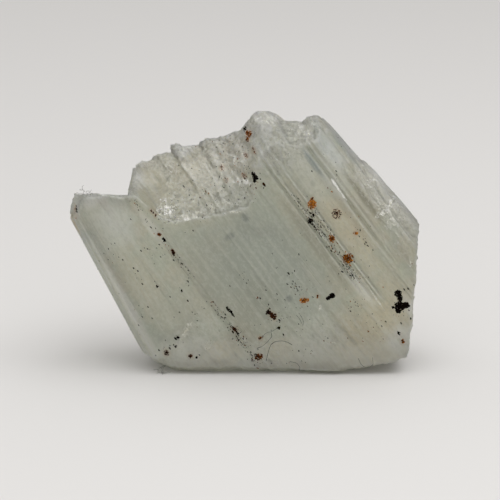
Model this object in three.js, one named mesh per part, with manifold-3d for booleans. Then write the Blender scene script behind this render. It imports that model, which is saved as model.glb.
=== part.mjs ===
// A tabular barite crystal, grown as one piece and broken at its top and its foot.
// Millimetres, +Z up, standing on its broken foot. X is the width and Y the thickness.
//
// The crystal is a stack of long lamellae that all lean the same way. Its body is one skin
// drawn through cross-sections, each in the plane of the thickness and the growth lines.
// In the names below, "across" runs over the growth lines, "depth" is the thickness
// (negative in front) and "along" runs up the growth lines.

import * as THREE from 'three';
import { mergeVertices } from 'three/addons/utils/BufferGeometryUtils.js';
import Module from 'manifold-3d';

// ---- driving dimensions ----

const WIDTH = 30; // overall, left corner to right corner
const LEAN = THREE.MathUtils.degToRad(55); // growth lines above the horizontal
const LEFT_TURN = 0.142; // how far the left edge turns from the growth lines, as a slope
const RIGHT_TURN = -0.03;
const TURN_SPAN = [-5.5, 1.5]; // across, where one turn passes into the other
const TURN_HEIGHT = 13; // along, the height at which nothing is shifted
const SUNK = 0.56; // the zero of the growth axes lies this far under the floor
const RIB = 0.5; // widest lamella in the skin
const BELOW = -1.5; // the skin starts this far under the floor, and is cut off at zero
const UNDERCUT = 1.2; // how much further back than the foot's edges it stands on the floor

// ---- outlines, each a list of [across, value] from the left edge to the right ----

// Depth of the smooth front, with the bevels, growth steps and grooves between its panels.
const FRONT = [
  [-5.5, -1.6], [-5.14, -2.95], [-5.06, -2.98], [-4.66, -4.02], [-4.56, -4.02], [-4.3, -4.42],
  [-1.16, -4.6], [-1.08, -4.68], [1.12, -4.74],
  [1.2, -4.66], [1.38, -4.7], [1.46, -4.82], [1.58, -4.82], [1.66, -4.76], [1.8, -4.95],
  [5.96, -4.98], [6.04, -4.92], [8.06, -4.96], [8.14, -4.9], [12.22, -4.95],
  [12.32, -4.72], [12.5, -4.72], [12.58, -4.88], [12.7, -4.88], [12.8, -4.64], [13.2, -4.66],
  [13.3, -4.86], [13.42, -4.86], [13.56, -4.6], [15.3, -4.42],
  [15.9, -4.4], [16.05, -4.12], [16.2, -4.1], [16.32, -4.24], [16.5, -4.2], [16.62, -3.96],
  [17.3, -3.8], [17.42, -3.66], [17.82, -3.42], [17.94, -3.14], [18.4, -2.8], [18.5, -2.3],
  [18.95, -1.95], [19.05, -1.5], [19.3, -1.25], [19.42, -0.9],
];

// Its depth at the foot, where the steps on the right half have died out.
const LOW_FRONT = [
  [12.22, -4.95], [12.8, -4.9], [13.6, -4.78], [15.9, -4.42], [16.8, -4.0], [17.8, -3.35],
  [18.5, -2.7], [19.1, -1.8], [19.42, -1.2],
];

// Height along the lamellae under which those steps start to die out.
const FADE = [[12.22, 3.0], [13.4, 0.0], [15.4, 3.0], [16.6, 6.0], [17.4, 6.5], [19.42, 4.6]];
const FADE_LENGTH = 4.5; // and how far down that takes

// The groove beside the broken top runs out upwards: between which places across it lies, and
// the heights along the lamellae where it starts to close and is closed.
const GROOVE = { across: [1.12, 1.8], open: 14.6, closed: 16.8 };

// Depth of the back, which has its own panels.
const BACK = [
  [-5.5, 1.2], [-5.2, 2.4], [-5.1, 2.45], [-4.6, 3.7], [-4.5, 3.75], [-4.1, 4.2],
  [-2.3, 4.3], [-2.2, 4.1], [0.4, 4.3], [0.5, 3.95], [0.9, 4.0], [1.0, 4.4],
  [3.6, 4.5], [3.7, 4.85], [6.9, 4.9], [7.0, 4.7], [9.8, 4.75], [9.9, 4.4], [10.2, 4.45],
  [10.3, 4.75], [12.6, 4.8], [12.7, 4.45], [14.6, 4.4], [14.7, 3.95], [16.3, 3.8],
  [16.4, 3.3], [17.6, 3.1], [17.7, 2.5], [18.8, 2.2], [18.9, 1.5], [19.42, 1.1],
];

// Height along the lamellae at which the smooth front gives way to the broken top.
const SHELF = [
  [-5.5, 22.6], [1.25, 22.4], [1.4, 19.15], [1.95, 19.1], [2.2, 18.2], [2.4, 17.0],
  [2.7, 16.0], [3.3, 15.3], [4.3, 14.8], [5.3, 14.2], [6.4, 13.75], [7.7, 13.15],
  [9.0, 12.8], [9.8, 13.1], [10.7, 14.2], [11.6, 15.1], [12.6, 15.8], [13.2, 16.0],
  [14.0, 15.8], [15.2, 14.8], [16.2, 14.3],
  [17.2, 13.9], [17.6, 14.3], [18.3, 13.8], [18.5, 11.9], [18.9, 8.4], [19.1, 5.4],
  [19.3, 4.0], [19.42, 2.0],
];

// How far back the ledge at the shelf is cut.
const LEDGE = [
  [-5.5, 0.05], [1.4, 0.06], [2.6, 0.12], [4.0, 0.3], [8.8, 0.28], [10.3, 0.12], [16.0, 0.08],
  [16.9, 0.05], [19.42, 0.05],
];

// Height along the lamellae of the crest of the broken top.
const CREST = [
  [-5.5, 22.9], [1.28, 22.7], [1.4, 19.3], [1.95, 19.8], [2.5, 20.25], [3.3, 20.4],
  [3.8, 20.1], [4.2, 20.05], [4.5, 20.2], [5.05, 20.0], [5.3, 19.85], [6.0, 19.6],
  [6.25, 20.0], [6.45, 20.18], [6.8, 20.08], [7.05, 19.6], [7.3, 19.35], [7.9, 18.95], [8.3, 18.6],
  [8.55, 18.95], [9.2, 18.8], [9.95, 18.35], [10.8, 18.15],
  [11.85, 17.85], [12.5, 17.95], [13.2, 18.25], [13.7, 18.4], [14.2, 18.42], [14.65, 18.2],
  [15.0, 17.65], [15.15, 17.1], [15.25, 16.6], [15.9, 16.2], [16.7, 15.62], [17.0, 15.62],
  [17.4, 15.75], [18.0, 15.42], [18.2, 15.0], [18.3, 13.9], [18.42, 12.0], [18.58, 10.4],
  [18.95, 9.7], [19.05, 8.8],
  [19.15, 6.2], [19.3, 5.5], [19.36, 4.1], [19.42, 2.7],
];

// Depth of that crest.
const CREST_DEPTH = [
  [-5.5, 0], [1.4, 0.2], [5.7, -0.1], [6.4, -0.3], [7.3, -0.3], [8.2, -0.2], [12.0, -0.4],
  [13.2, -1.2], [16.0, -1.2], [17.2, -2.0], [18.4, -2.0], [18.9, -1.0], [19.42, -0.3],
];

// Height along the lamellae at which the front starts to fall back towards the foot.
const LOW_BREAK = [
  [-5.5, 6.4], [-3.8, 6.1], [-2.6, 6.3], [-1.4, 7.2], [-0.8, 7.1], [0.1, 5.1], [2.2, 2.5],
  [4.0, 2.9], [6.3, 3.6], [7.5, 3.0], [9.3, 2.0], [11.4, 1.3], [12.6, -0.2], [14.0, -2.2],
  [15.5, -3.9], [19.42, -9],
];

// How far the front edge of the foot hangs over the floor.
const FOOT_RISE = [
  [-5.5, 1.4], [-4.9, 1.15], [-4.2, 0.95], [-3.3, 0.7], [-2.2, 0.78], [-1.2, 0.7], [0.8, 0.72],
  [1.8, 0.62], [3.4, 0.58], [4.7, 0.42], [6.2, 0.42], [7.3, 0.7], [8.6, 0.85], [19.42, 1.0],
];

// Depths of the two edges of the foot.
const FOOT_FRONT = [
  [-5.5, -1.2], [-4.6, -3.3], [-3.6, -4.1], [-2.0, -4.3], [2.5, -4.1], [7.0, -4.4],
  [11.0, -4.2], [19.42, -2.9],
];
const FOOT_BACK = [
  [-5.5, 1.0], [-4.6, 2.6], [-1.0, 3.0], [4.0, 3.4], [8.5, 3.1], [12.0, 3.5], [19.42, 2.6],
];

// ---- the broken parts ----

const TOP_SPLINTER = 0.08; // how much one lamella stands out from the next
const TOP_CHIP = 0.15; // random shift of each point between the shelf and the crest
const LOW_CHIP = 0.09; // the same on the broken foot in front
const BACK_CHIP = 0.25; // and behind the crest
const SHELF_CHIP = 0.14; // how raggedly the smooth front ends
const LEAST_BREAK = 0.15; // the broken top is at least this high
const FULL_BREAK = 3; // and fully rough where it is this high
const BACK_FALL = 0.8; // the back starts at least this far under the crest
const BACK_SLOPE = 0.5; // and lower still, by up to this share of the thickness there
const FOOT_WAVER = 0.1; // how unevenly the foot's front edge is raised, as a share
const FOOT_LEDGE = 0.05; // height of the steep rim where it stands on the floor
const FOOT_RAGGED = 0.25; // how unevenly it is undercut, as a share
const FOOT_CORE = 0.38; // the foot is undercut by at most this share of its thickness
const FOOT_FALL = 0.4; // least height of the break between the front and the foot's edge
const FOOT_IN = 0.1; // the foot's edges lie at least this far inside the front and the back
const FOOT_TALL = 2.2; // height of the broken foot behind
const FADE_GAP = 0.3; // least length of the front over and under the height where steps fade
const CREST_IN = 0.3; // the crest lies at least this far behind the front
const LIP_RISE = [0.3, 0.02]; // how steeply the ledge at the shelf climbs, and its least rise
const CUT_STEP = 0.85; // spacing of the random points of a broken cut
const CUT_HEIGHT = 20; // height of the block that makes a cut

// ---- how the meshes are made ----

const CLOSEST = 0.05; // cross-sections nearer to each other than this are left out
const MERGED = 1e-4; // points nearer than this are one

// ---- helpers ----

const wasm = await Module();
wasm.setup();

/** A repeatable random number from 0 to 1 for two whole numbers. */
function chance(i, j) {
  const v = Math.sin(i * 127.1 + j * 311.7 + 74.7) * 43758.5453;
  return v - Math.floor(v);
}

/** The same from -1 to 1. */
function shake(i, j) {
  return 2 * chance(i, j) - 1;
}

/** The value of an outline at one place across. */
function at(outline, across) {
  let k = 1;
  while (k < outline.length - 1 && outline[k][0] < across) k += 1;
  const [a, va] = outline[k - 1];
  const [b, vb] = outline[k];
  const f = THREE.MathUtils.clamp((across - a) / (b - a), 0, 1);
  return THREE.MathUtils.lerp(va, vb, f);
}

/** Where the growth lines turn: the sideways slope of the line at one place across. */
function turn(across) {
  const f = THREE.MathUtils.smoothstep(across, TURN_SPAN[0], TURN_SPAN[1]);
  return THREE.MathUtils.lerp(LEFT_TURN, RIGHT_TURN, f);
}

/** From across, depth and along to the standing crystal's own X, Y and Z. */
function stand(across, depth, along) {
  const shifted = across + turn(across) * (along - TURN_HEIGHT);
  return new THREE.Vector3(
    shifted * Math.sin(LEAN) - along * Math.cos(LEAN),
    depth,
    shifted * Math.cos(LEAN) + along * Math.sin(LEAN) - SUNK,
  );
}

/** The height along a line at which it reaches a level above the floor. */
function reach(across, level) {
  const slope = Math.sin(LEAN) + turn(across) * Math.cos(LEAN);
  return (level + SUNK - (across - turn(across) * TURN_HEIGHT) * Math.cos(LEAN)) / slope;
}

/** A closed mesh from a list of points and a list of triangles. */
function closed(points, triangles) {
  const shape = new THREE.BufferGeometry().setFromPoints(points);
  shape.setIndex(triangles);
  return shape;
}

/** A geometry as a solid that can be joined and cut. */
function solid(shape) {
  const bare = shape.clone();
  bare.deleteAttribute('normal');
  bare.deleteAttribute('uv');
  const merged = mergeVertices(bare, MERGED);
  return new wasm.Manifold(new wasm.Mesh({
    numProp: 3,
    vertProperties: new Float32Array(merged.attributes.position.array),
    triVerts: new Uint32Array(merged.index.array),
  }));
}

/** A solid back as a geometry. */
function geometry(body) {
  const mesh = body.getMesh();
  const shape = new THREE.BufferGeometry();
  shape.setAttribute('position', new THREE.BufferAttribute(mesh.vertProperties, 3));
  shape.setIndex(new THREE.BufferAttribute(mesh.triVerts, 1));
  return shape;
}

// ---- the body: one skin through its cross-sections ----

/** Every place across that has a cross-section, left to right. */
function stations() {
  const keys = [...FRONT, ...BACK, ...CREST, ...SHELF].map(([across]) => across);
  const sorted = [...new Set(keys)].sort((a, b) => a - b);
  const places = [sorted[0]];
  for (const key of sorted.slice(1)) {
    const last = places[places.length - 1];
    if (key - last < CLOSEST) continue;
    const pieces = Math.ceil((key - last) / RIB);
    for (let n = 1; n <= pieces; n += 1) places.push(last + ((key - last) * n) / pieces);
  }
  return places;
}

/** Points on a broken slope between two [depth, along] ends, each knocked out of line. */
function brokenSlope(from, to, count, splinter, chip, seed) {
  const points = [];
  for (let n = 1; n <= count; n += 1) {
    const f = n / (count + 1);
    const depth = THREE.MathUtils.lerp(from[0], to[0], f);
    const along = THREE.MathUtils.lerp(from[1], to[1], f);
    points.push([
      depth + splinter * Math.sin(Math.PI * f) + chip * shake(seed, n),
      along + chip * shake(seed, n + 20),
    ]);
  }
  return points;
}

/** The front's depth above the place where the groove has closed. */
function closedFront(across) {
  const [left, right] = GROOVE.across;
  if (across <= left || across >= right) return at(FRONT, across);
  const f = (across - left) / (right - left);
  return THREE.MathUtils.lerp(at(FRONT, left), at(FRONT, right), f);
}

/** The points of the smooth front of one cross-section, from the low break up to the shelf. */
function smoothFront(across, low, shelf) {
  const front = at(FRONT, across);
  const lowFront = across < LOW_FRONT[0][0] ? front : at(LOW_FRONT, across);
  const highFront = closedFront(across);
  const fade = THREE.MathUtils.clamp(at(FADE, across), low + FADE_GAP, shelf - FADE_GAP);
  const open = THREE.MathUtils.clamp(GROOVE.open, fade + FADE_GAP / 4, shelf - FADE_GAP / 2);
  const shut = THREE.MathUtils.clamp(GROOVE.closed, open + FADE_GAP / 8, shelf - FADE_GAP / 4);
  return [
    [lowFront, low],
    [lowFront, Math.max(fade - FADE_LENGTH, low + FADE_GAP / 2)],
    [front, fade],
    [front, open],
    [highFront, shut],
    [highFront, shelf],
  ];
}

/** The closed ring of [depth, along] points of one cross-section, from the front foot up. */
function ring(across, index) {
  const back = at(BACK, across);
  const crest = at(CREST, across);
  const ragged = SHELF_CHIP * shake(index, 11);
  const shelf = Math.min(at(SHELF, across) + ragged, crest - LEAST_BREAK);
  const rise = at(FOOT_RISE, across) * (1 + FOOT_WAVER * shake(index >> 1, 4));
  const foot = reach(across, rise);
  const low = Math.max(at(LOW_BREAK, across), foot + FOOT_FALL);
  const front = smoothFront(across, low, shelf);
  const [lowFront] = front[0];
  const [highFront] = front[front.length - 1];

  const footFront = Math.max(at(FOOT_FRONT, across), lowFront + FOOT_IN);
  const footBack = Math.min(at(FOOT_BACK, across), back - FOOT_IN);
  const cut = UNDERCUT * (1 + FOOT_RAGGED * shake(index >> 1, 5));
  const undercut = Math.min(cut, FOOT_CORE * (footBack - footFront));
  const rim = reach(across, FOOT_LEDGE);
  const start = reach(across, BELOW);

  const ledge = at(LEDGE, across);
  const lip = [highFront + ledge, shelf + LIP_RISE[0] * ledge + LIP_RISE[1]];
  const top = [Math.max(at(CREST_DEPTH, across), highFront + CREST_IN), crest];
  const open = THREE.MathUtils.clamp((crest - shelf) / FULL_BREAK, 0, 1);
  const splinter = TOP_SPLINTER * open * shake(index, 3);
  const fall = BACK_FALL + BACK_SLOPE * (back - top[0]) * chance(index >> 2, 9);
  const backTop = [back, crest - fall];
  return [
    [footFront + undercut, start],
    [footFront + undercut, rim],
    [footFront, foot],
    ...brokenSlope([footFront, foot], front[0], 2, 0, LOW_CHIP, index + 500),
    ...front,
    lip,
    ...brokenSlope(lip, top, 6, splinter, TOP_CHIP * open, index >> 1),
    top,
    ...brokenSlope(top, backTop, 2, splinter, BACK_CHIP * open, index + 900),
    backTop,
    [back, foot + FOOT_TALL + shake(index >> 1, 7)],
    [footBack, foot],
    [footBack - undercut, rim],
    [footBack - undercut, start],
  ];
}

/** The whole skin, closed at its left and right ends. */
function body() {
  const places = stations();
  const points = [];
  for (const [index, across] of places.entries()) {
    for (const [depth, along] of ring(across, index)) points.push(stand(across, depth, along));
  }
  const size = points.length / places.length;
  const triangles = [];
  for (let i = 0; i < places.length - 1; i += 1) {
    for (let j = 0; j < size; j += 1) {
      const a = i * size + j;
      const b = i * size + ((j + 1) % size);
      triangles.push(a, a + size, b, b, a + size, b + size);
    }
  }
  const last = points.length - size;
  for (let j = 1; j < size - 1; j += 1) {
    triangles.push(0, j, j + 1);
    triangles.push(last, last + j + 1, last + j);
  }
  return solid(closed(points, triangles));
}

/** A thin lamella of one outline between two depths. */
function plate(outline, [front, back]) {
  const face = new THREE.Shape(outline.map(([across, along]) => new THREE.Vector2(across, along)));
  const flat = new THREE.ExtrudeGeometry(face, { depth: back - front, bevelEnabled: false });
  const place = flat.attributes.position;
  for (let n = 0; n < place.count; n += 1) {
    const { x, y, z } = stand(place.getX(n), back - place.getZ(n), place.getY(n));
    place.setXYZ(n, x, y, z);
  }
  return solid(flat);
}

// ---- what was broken off it ----

/** A block whose underside is a rough break. It is placed by a matrix, its underside at z = 0. */
function breaker(width, length, rough, seed, matrix) {
  const nx = Math.ceil(width / CUT_STEP);
  const ny = Math.ceil(length / CUT_STEP);
  const block = new THREE.BoxGeometry(width, length, CUT_HEIGHT, nx, ny, 1);
  block.translate(0, 0, CUT_HEIGHT / 2);
  const place = block.attributes.position;
  for (let n = 0; n < place.count; n += 1) {
    if (place.getZ(n) > 0) continue;
    const i = Math.round((place.getX(n) / width + 0.5) * nx);
    const j = Math.round((place.getY(n) / length + 0.5) * ny);
    place.setZ(n, rough * shake(i + seed, j + seed));
  }
  return solid(block.applyMatrix4(matrix));
}

/** The matrix of a breaker: where its underside's centre is and which way the block lies. */
function facing(x, y, z, away, side) {
  const up = new THREE.Vector3(...away).normalize();
  const right = new THREE.Vector3(...side).cross(up).normalize();
  const forward = new THREE.Vector3().crossVectors(up, right);
  return new THREE.Matrix4().makeBasis(right, forward, up).setPosition(x, y, z);
}

const FORWARD = [0, 1, 0];

// Each break: its size, its roughness, a point on it and the way the broken piece went.
const BREAKS = [
  { name: 'top left', size: [13, 14], rough: 0.16, at: [-16.6, 0, 15.05], away: [0.03, 0.22, 1] },
  { name: 'left corner', size: [6, 14], rough: 0.12, at: [-14.95, 0, 14.2], away: [-1, -0.1, 0.4] },
  { name: 'lower left', size: [7, 14], rough: 0.12, at: [-8.6, 0, 1.05], away: [-0.4, 0, -0.92] },
  { name: 'right', size: [34, 16], rough: 0.13, at: [14.3, 0, 6], away: [1, 0, -0.088] },
  { name: 'lower right', size: [18, 16], rough: 0.12, at: [14.3, 0, 1.55], away: [0.22, 0, -1] },
  { name: 'back top', size: [9, 8], rough: 0.3, at: [-1.5, 4.4, 17.2], away: [0.1, 1, 0.75] },
  { name: 'back right', size: [7, 9], rough: 0.25, at: [11.8, 4.3, 11.5], away: [0.5, 1, 0.1] },
  { name: 'back foot', size: [8, 5], rough: 0.25, at: [2.5, 4.4, 1.4], away: [0, 1, -0.55] },
];

// Thin lamellae that stop part of the way up the crystal. Each outline is [across, along],
// and each plate runs between two depths, the inner one inside the body.
const PLATES = [
  {
    name: 'right',
    depths: [-3.2, -1],
    outline: [[17.6, -6], [17.66, 5.3], [18.3, 5.5], [18.36, -6]],
  },
  {
    name: 'right edge',
    depths: [-2.5, 0],
    outline: [[18.3, -6], [18.34, 5.2], [19.28, 5.6], [19.36, -6]],
  },
  {
    name: 'back low',
    depths: [3, 5.1],
    outline: [[4.2, 0.9], [4.3, 9.4], [5.6, 10.3], [8.8, 8.6], [8.9, -2.4]],
  },
  {
    name: 'back left',
    depths: [3, 4.55],
    outline: [[-3.6, 6], [-3.5, 17.2], [-2.9, 18], [-1.3, 16.2], [-1.2, 6]],
  },
];

let crystal = body();
for (const part of PLATES) crystal = crystal.add(plate(part.outline, part.depths));
for (const [index, part] of BREAKS.entries()) {
  const place = facing(...part.at, part.away, FORWARD);
  crystal = crystal.subtract(breaker(...part.size, part.rough, 40 * index + 7, place));
}
// The foot is flat where it stands on the floor.
const floor = facing(0, 0, 0, [0, 0, -1], FORWARD);
crystal = crystal.subtract(breaker(2 * WIDTH, WIDTH, 0, 0, floor));

// Brought to its exact width, with the origin on the floor under the middle of its box.
const shape = geometry(crystal);
shape.computeBoundingBox();
const { min, max } = shape.boundingBox;
const scale = WIDTH / (max.x - min.x);
shape.translate(-(min.x + max.x) / 2, -(min.y + max.y) / 2, 0);
shape.scale(scale, scale, scale);

const group = new THREE.Group();
const mesh = new THREE.Mesh(
  shape,
  new THREE.MeshStandardMaterial({ color: 0xa3a598, roughness: 0.35, metalness: 0 }),
);
mesh.name = 'barite_crystal';
group.add(mesh);

export default group;
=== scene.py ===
"""A tabular barite crystal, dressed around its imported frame.

The solid in the frame gives the crystal its size, its panels, its growth steps and its breaks.
This script lays a finer skin over it, with growth lines and splintered breaks, gives it the look
of a pale, milky, half clear mineral, and adds what sits on it: rust-brown iron oxide, black
manganese oxide, pale chips of crushed barite and a few textile fibres. Lengths are in metres
unless a name ends in _mm or its class says millimetres.
"""

import logging
import math
from dataclasses import dataclass, field
from enum import Enum
from functools import cache, reduce

import bmesh
import bpy
import numpy as np
from bpy.types import ID, Material, Mesh, Node, NodeSocket, NodeTree, Object
from mathutils import Matrix, Vector
from mathutils.bvhtree import BVHTree

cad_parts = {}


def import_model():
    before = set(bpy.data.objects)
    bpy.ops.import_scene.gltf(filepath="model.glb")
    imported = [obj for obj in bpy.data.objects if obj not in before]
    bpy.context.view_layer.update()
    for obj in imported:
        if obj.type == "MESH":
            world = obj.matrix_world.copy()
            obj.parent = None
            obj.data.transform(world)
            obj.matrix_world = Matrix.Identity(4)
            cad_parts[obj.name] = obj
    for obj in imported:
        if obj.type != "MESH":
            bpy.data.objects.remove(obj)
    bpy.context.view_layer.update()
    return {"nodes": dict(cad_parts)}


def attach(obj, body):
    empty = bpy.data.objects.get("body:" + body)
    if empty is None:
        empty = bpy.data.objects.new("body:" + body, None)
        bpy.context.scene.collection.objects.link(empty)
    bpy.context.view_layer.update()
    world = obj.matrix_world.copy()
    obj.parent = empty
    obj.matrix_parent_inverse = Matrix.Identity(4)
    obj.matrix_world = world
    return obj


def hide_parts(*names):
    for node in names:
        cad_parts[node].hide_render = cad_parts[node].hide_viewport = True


MM = 0.001
NODE = "barite_crystal"
BODY = "root"
# The socket types of plain numbers, and the places of a Mix node's colour sockets.
NUMBER_SORTS = {float: "Float", int: "Int"}
MIX_BELOW, MIX_OVER, MIX_RESULT = 6, 7, 2

log = logging.getLogger("barite")


# ---------------------------------------------------------------- small tools


class Sheet:
    """A node tree with short calls to add nodes and join them."""

    def __init__(self, tree: NodeTree) -> None:
        """Starts on an emptied shader or geometry tree."""
        self.tree = tree
        tree.nodes.clear()

    def feed(self, node: Node, inputs: dict) -> None:
        """Links outputs into a node's inputs, or sets the inputs' own values.

        Args:
            node: the node.
            inputs: input name or number to an output or a value.
        """
        for name, value in inputs.items():
            socket = node.inputs[name]
            if isinstance(value, NodeSocket):
                self.tree.links.new(value, socket)
            else:
                socket.default_value = (*value, 1.0) if socket.type == "RGBA" else value

    def add(self, kind: str, inputs: dict | None = None, **settings: object) -> Node:
        """Adds a node.

        Args:
            kind: the node's type name.
            inputs: input name or number to an output or a value.
            settings: properties of the node.

        Returns:
            The new node.
        """
        node = self.tree.nodes.new(kind)
        for name, value in settings.items():
            setattr(node, name, value)
        self.feed(node, inputs or {})
        return node

    def read(self, kind: str, inputs: dict | None = None, **settings: object) -> NodeSocket:
        """Adds a node and gives its first output."""
        return self.add(kind, inputs, **settings).outputs[0]

    def group(self, tree: NodeTree, **inputs: object) -> Node:
        """Places a shader group."""
        return self.add("ShaderNodeGroup", inputs, node_tree=tree)

    def attribute(self, name: str, output: str = "Fac") -> NodeSocket:
        """What the mesh stores under a name, in a material."""
        return self.add("ShaderNodeAttribute", attribute_name=name).outputs[output]

    def stored(self, name: str, kind: str = "FLOAT") -> NodeSocket:
        """What the mesh stores under a name, in a geometry tree."""
        return self.read("GeometryNodeInputNamedAttribute", {"Name": name}, data_type=kind)

    def math(self, kind: str, *values: object, clamp: bool = False) -> NodeSocket:
        """A Math node's result."""
        given = dict(enumerate(values))
        return self.read("ShaderNodeMath", given, operation=kind, use_clamp=clamp)

    def times(self, *factors: object) -> NodeSocket:
        """The product of several factors."""
        return reduce(lambda one, other: self.math("MULTIPLY", one, other), factors)

    def rest(self, value: object) -> NodeSocket:
        """What a value leaves of 1."""
        return self.math("SUBTRACT", 1.0, value)

    def vector(self, kind: str, *values: object) -> NodeSocket:
        """A Vector Math node's result, a number for LENGTH and DOT_PRODUCT."""
        node = self.add("ShaderNodeVectorMath", dict(enumerate(values)), operation=kind)
        return node.outputs[1 if kind in ("LENGTH", "DOT_PRODUCT") else 0]

    def scale(self, vector: object, factor: object) -> NodeSocket:
        """A vector made longer or shorter by a factor."""
        return self.read("ShaderNodeVectorMath", {0: vector, "Scale": factor}, operation="SCALE")

    def place_mm(self) -> NodeSocket:
        """The place on the piece, in millimetres."""
        return self.scale(self.add("ShaderNodeTexCoord").outputs["Object"], 1.0 / MM)

    def upward(self, vector: NodeSocket) -> NodeSocket:
        """A vector's Z."""
        return self.add("ShaderNodeSeparateXYZ", {0: vector}).outputs["Z"]

    def span(self, value: object, low: object, high: object, *to: object) -> NodeSocket:
        """A smooth step of a value between two limits, from 0 to 1 or between the two of to."""
        given = dict(enumerate((value, low, high, *(to or (0.0, 1.0)))))
        return self.read("ShaderNodeMapRange", given, interpolation_type="SMOOTHSTEP")

    def noise(self, at: object, scale: object, detail: float, rough: float = 0.5) -> NodeSocket:
        """Noise of about 0.5: its place, how fine it is, its finer layers and their strength."""
        given = {"Vector": at, "Scale": scale, "Detail": detail, "Roughness": rough}
        return self.add("ShaderNodeTexNoise", given).outputs["Fac"]

    def ripple(self, *given: object) -> NodeSocket:
        """The same noise about zero."""
        return self.math("SUBTRACT", self.noise(*given), 0.5)

    def facets(self, at: object, scale: object) -> tuple:
        """A mosaic of small planes, each tilted its own way.

        Args:
            at: where to read it.
            scale: how many planes there are per unit of length.

        Returns:
            Their height for a slope of one, and their random colour.
        """
        cells = self.add("ShaderNodeTexVoronoi", {"Vector": at, "Scale": scale}).outputs
        away = self.vector("SUBTRACT", at, cells["Position"])
        tilt = self.vector("SUBTRACT", cells["Color"], (0.5, 0.5, 0.5))
        return self.vector("DOT_PRODUCT", away, tilt), cells["Color"]

    def mix(self, share: object, below: object, over: object) -> NodeSocket:
        """A share of one colour over another, each a triple or an output."""
        given = {"Factor": share, MIX_BELOW: below, MIX_OVER: over}
        return self.add("ShaderNodeMix", given, data_type="RGBA").outputs[MIX_RESULT]

    def bump(self, height_mm: NodeSocket) -> NodeSocket:
        """The normal of a height in millimetres."""
        return self.read("ShaderNodeBump", {"Distance": MM, "Height": height_mm})

    def deliver(self, geometry: NodeSocket, given: object, out: Node) -> NodeTree:
        """Ends a geometry tree with real meshes in their material.

        Args:
            geometry: what the tree has made.
            given: the tree's inputs, Material among them.
            out: the tree's output node.

        Returns:
            The tree.
        """
        real = self.read("GeometryNodeRealizeInstances", {0: geometry})
        dressed = {"Geometry": real, "Material": given["Material"]}
        self.feed(out, {0: self.read("GeometryNodeSetMaterial", dressed)})
        return self.tree


def new_group(kind: str, name: str, inputs: dict, outputs: dict) -> tuple:
    """Makes a node group with its sockets.

    Args:
        kind: the tree's type name.
        name: the group's name.
        inputs: socket name to its starting number, or to its sort where it has none.
        outputs: socket name to its sort.

    Returns:
        The group's sheet, what it is given, and its output node.
    """
    tree = bpy.data.node_groups.new(name, kind)
    for label, value in inputs.items():
        sort = NUMBER_SORTS.get(type(value), value)
        socket = tree.interface.new_socket(label, in_out="INPUT", socket_type=f"NodeSocket{sort}")
        if type(value) in NUMBER_SORTS:
            socket.default_value = value
    for label, sort in outputs.items():
        tree.interface.new_socket(label, in_out="OUTPUT", socket_type=f"NodeSocket{sort}")
    sheet = Sheet(tree)
    return sheet, sheet.add("NodeGroupInput").outputs, sheet.add("NodeGroupOutput")


def new_material(name: str) -> tuple[Material, Sheet, Node, Node]:
    """Starts a material with a Principled shader.

    Args:
        name: the material's name.

    Returns:
        The material, its sheet, its shader and its output node.
    """
    made = bpy.data.materials.new(name)
    made.use_nodes = True
    sheet = Sheet(made.node_tree)
    shader = sheet.add("ShaderNodeBsdfPrincipled")
    return made, sheet, shader, sheet.add("ShaderNodeOutputMaterial", {0: shader.outputs[0]})


def fetch(rows: object, key: str, width: int) -> np.ndarray:
    """Reads one property of a mesh's points or edges, or of what it stores on them.

    Args:
        rows: the points, the edges or an attribute's data.
        key: the property's name.
        width: how many numbers it has.

    Returns:
        One row for each.
    """
    flat = np.empty(len(rows) * width, np.int32 if key == "vertices" else np.float32)
    rows.foreach_get(key, flat)
    return flat.reshape(-1, width)


def mark(mesh: Mesh, name: str, values: np.ndarray) -> None:
    """Stores a number or a vector on each point, for the materials and the trees to read.

    Args:
        mesh: the mesh.
        name: the name to store them under.
        values: one number or one row per point.
    """
    rows = np.ascontiguousarray(values, np.float32)
    kind, key = ("FLOAT", "value") if rows.ndim == 1 else ("FLOAT_VECTOR", "vector")
    mesh.attributes.new(name, kind, "POINT").data.foreach_set(key, rows.ravel())


def numbers(mesh: Mesh, name: str) -> np.ndarray:
    """The numbers stored on a mesh's points under one name."""
    return fetch(mesh.attributes[name].data, "value", 1)[:, 0]


def search(mesh: Mesh) -> BVHTree:
    """A tree that finds places on a mesh."""
    corners = [vertex.co.copy() for vertex in mesh.vertices]
    return BVHTree.FromPolygons(corners, [tuple(face.vertices) for face in mesh.polygons])


def show(name: str, data: ID) -> Object:
    """Puts a mesh, a light or a camera into the scene.

    Args:
        name: its name.
        data: the mesh, the light or the camera.

    Returns:
        Its object, at the origin.
    """
    piece = bpy.data.objects.new(name, data)
    bpy.context.scene.collection.objects.link(piece)
    return piece


def settle(piece: Object) -> None:
    """Turns an object's modifiers into its plain mesh.

    Args:
        piece: the object.
    """
    graph = bpy.context.evaluated_depsgraph_get()
    mesh = bpy.data.meshes.new_from_object(piece.evaluated_get(graph))
    piece.modifiers.clear()
    old = piece.data
    piece.data = mesh
    bpy.data.meshes.remove(old)


def run_tree(piece: Object, tree: NodeTree, **inputs: object) -> None:
    """Runs a Geometry Nodes tree on a piece and keeps its result as a plain mesh.

    Args:
        piece: the object to work on.
        tree: the tree.
        inputs: input name, with _ for a space, to its value.
    """
    modifier = piece.modifiers.new(tree.name, "NODES")
    modifier.node_group = tree
    sockets = [item for item in tree.interface.items_tree if item.item_type == "SOCKET"]
    keys = {socket.name: socket.identifier for socket in sockets if socket.in_out == "INPUT"}
    for name, value in inputs.items():
        modifier[keys[name.replace("_", " ")]] = value
    settle(piece)


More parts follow.
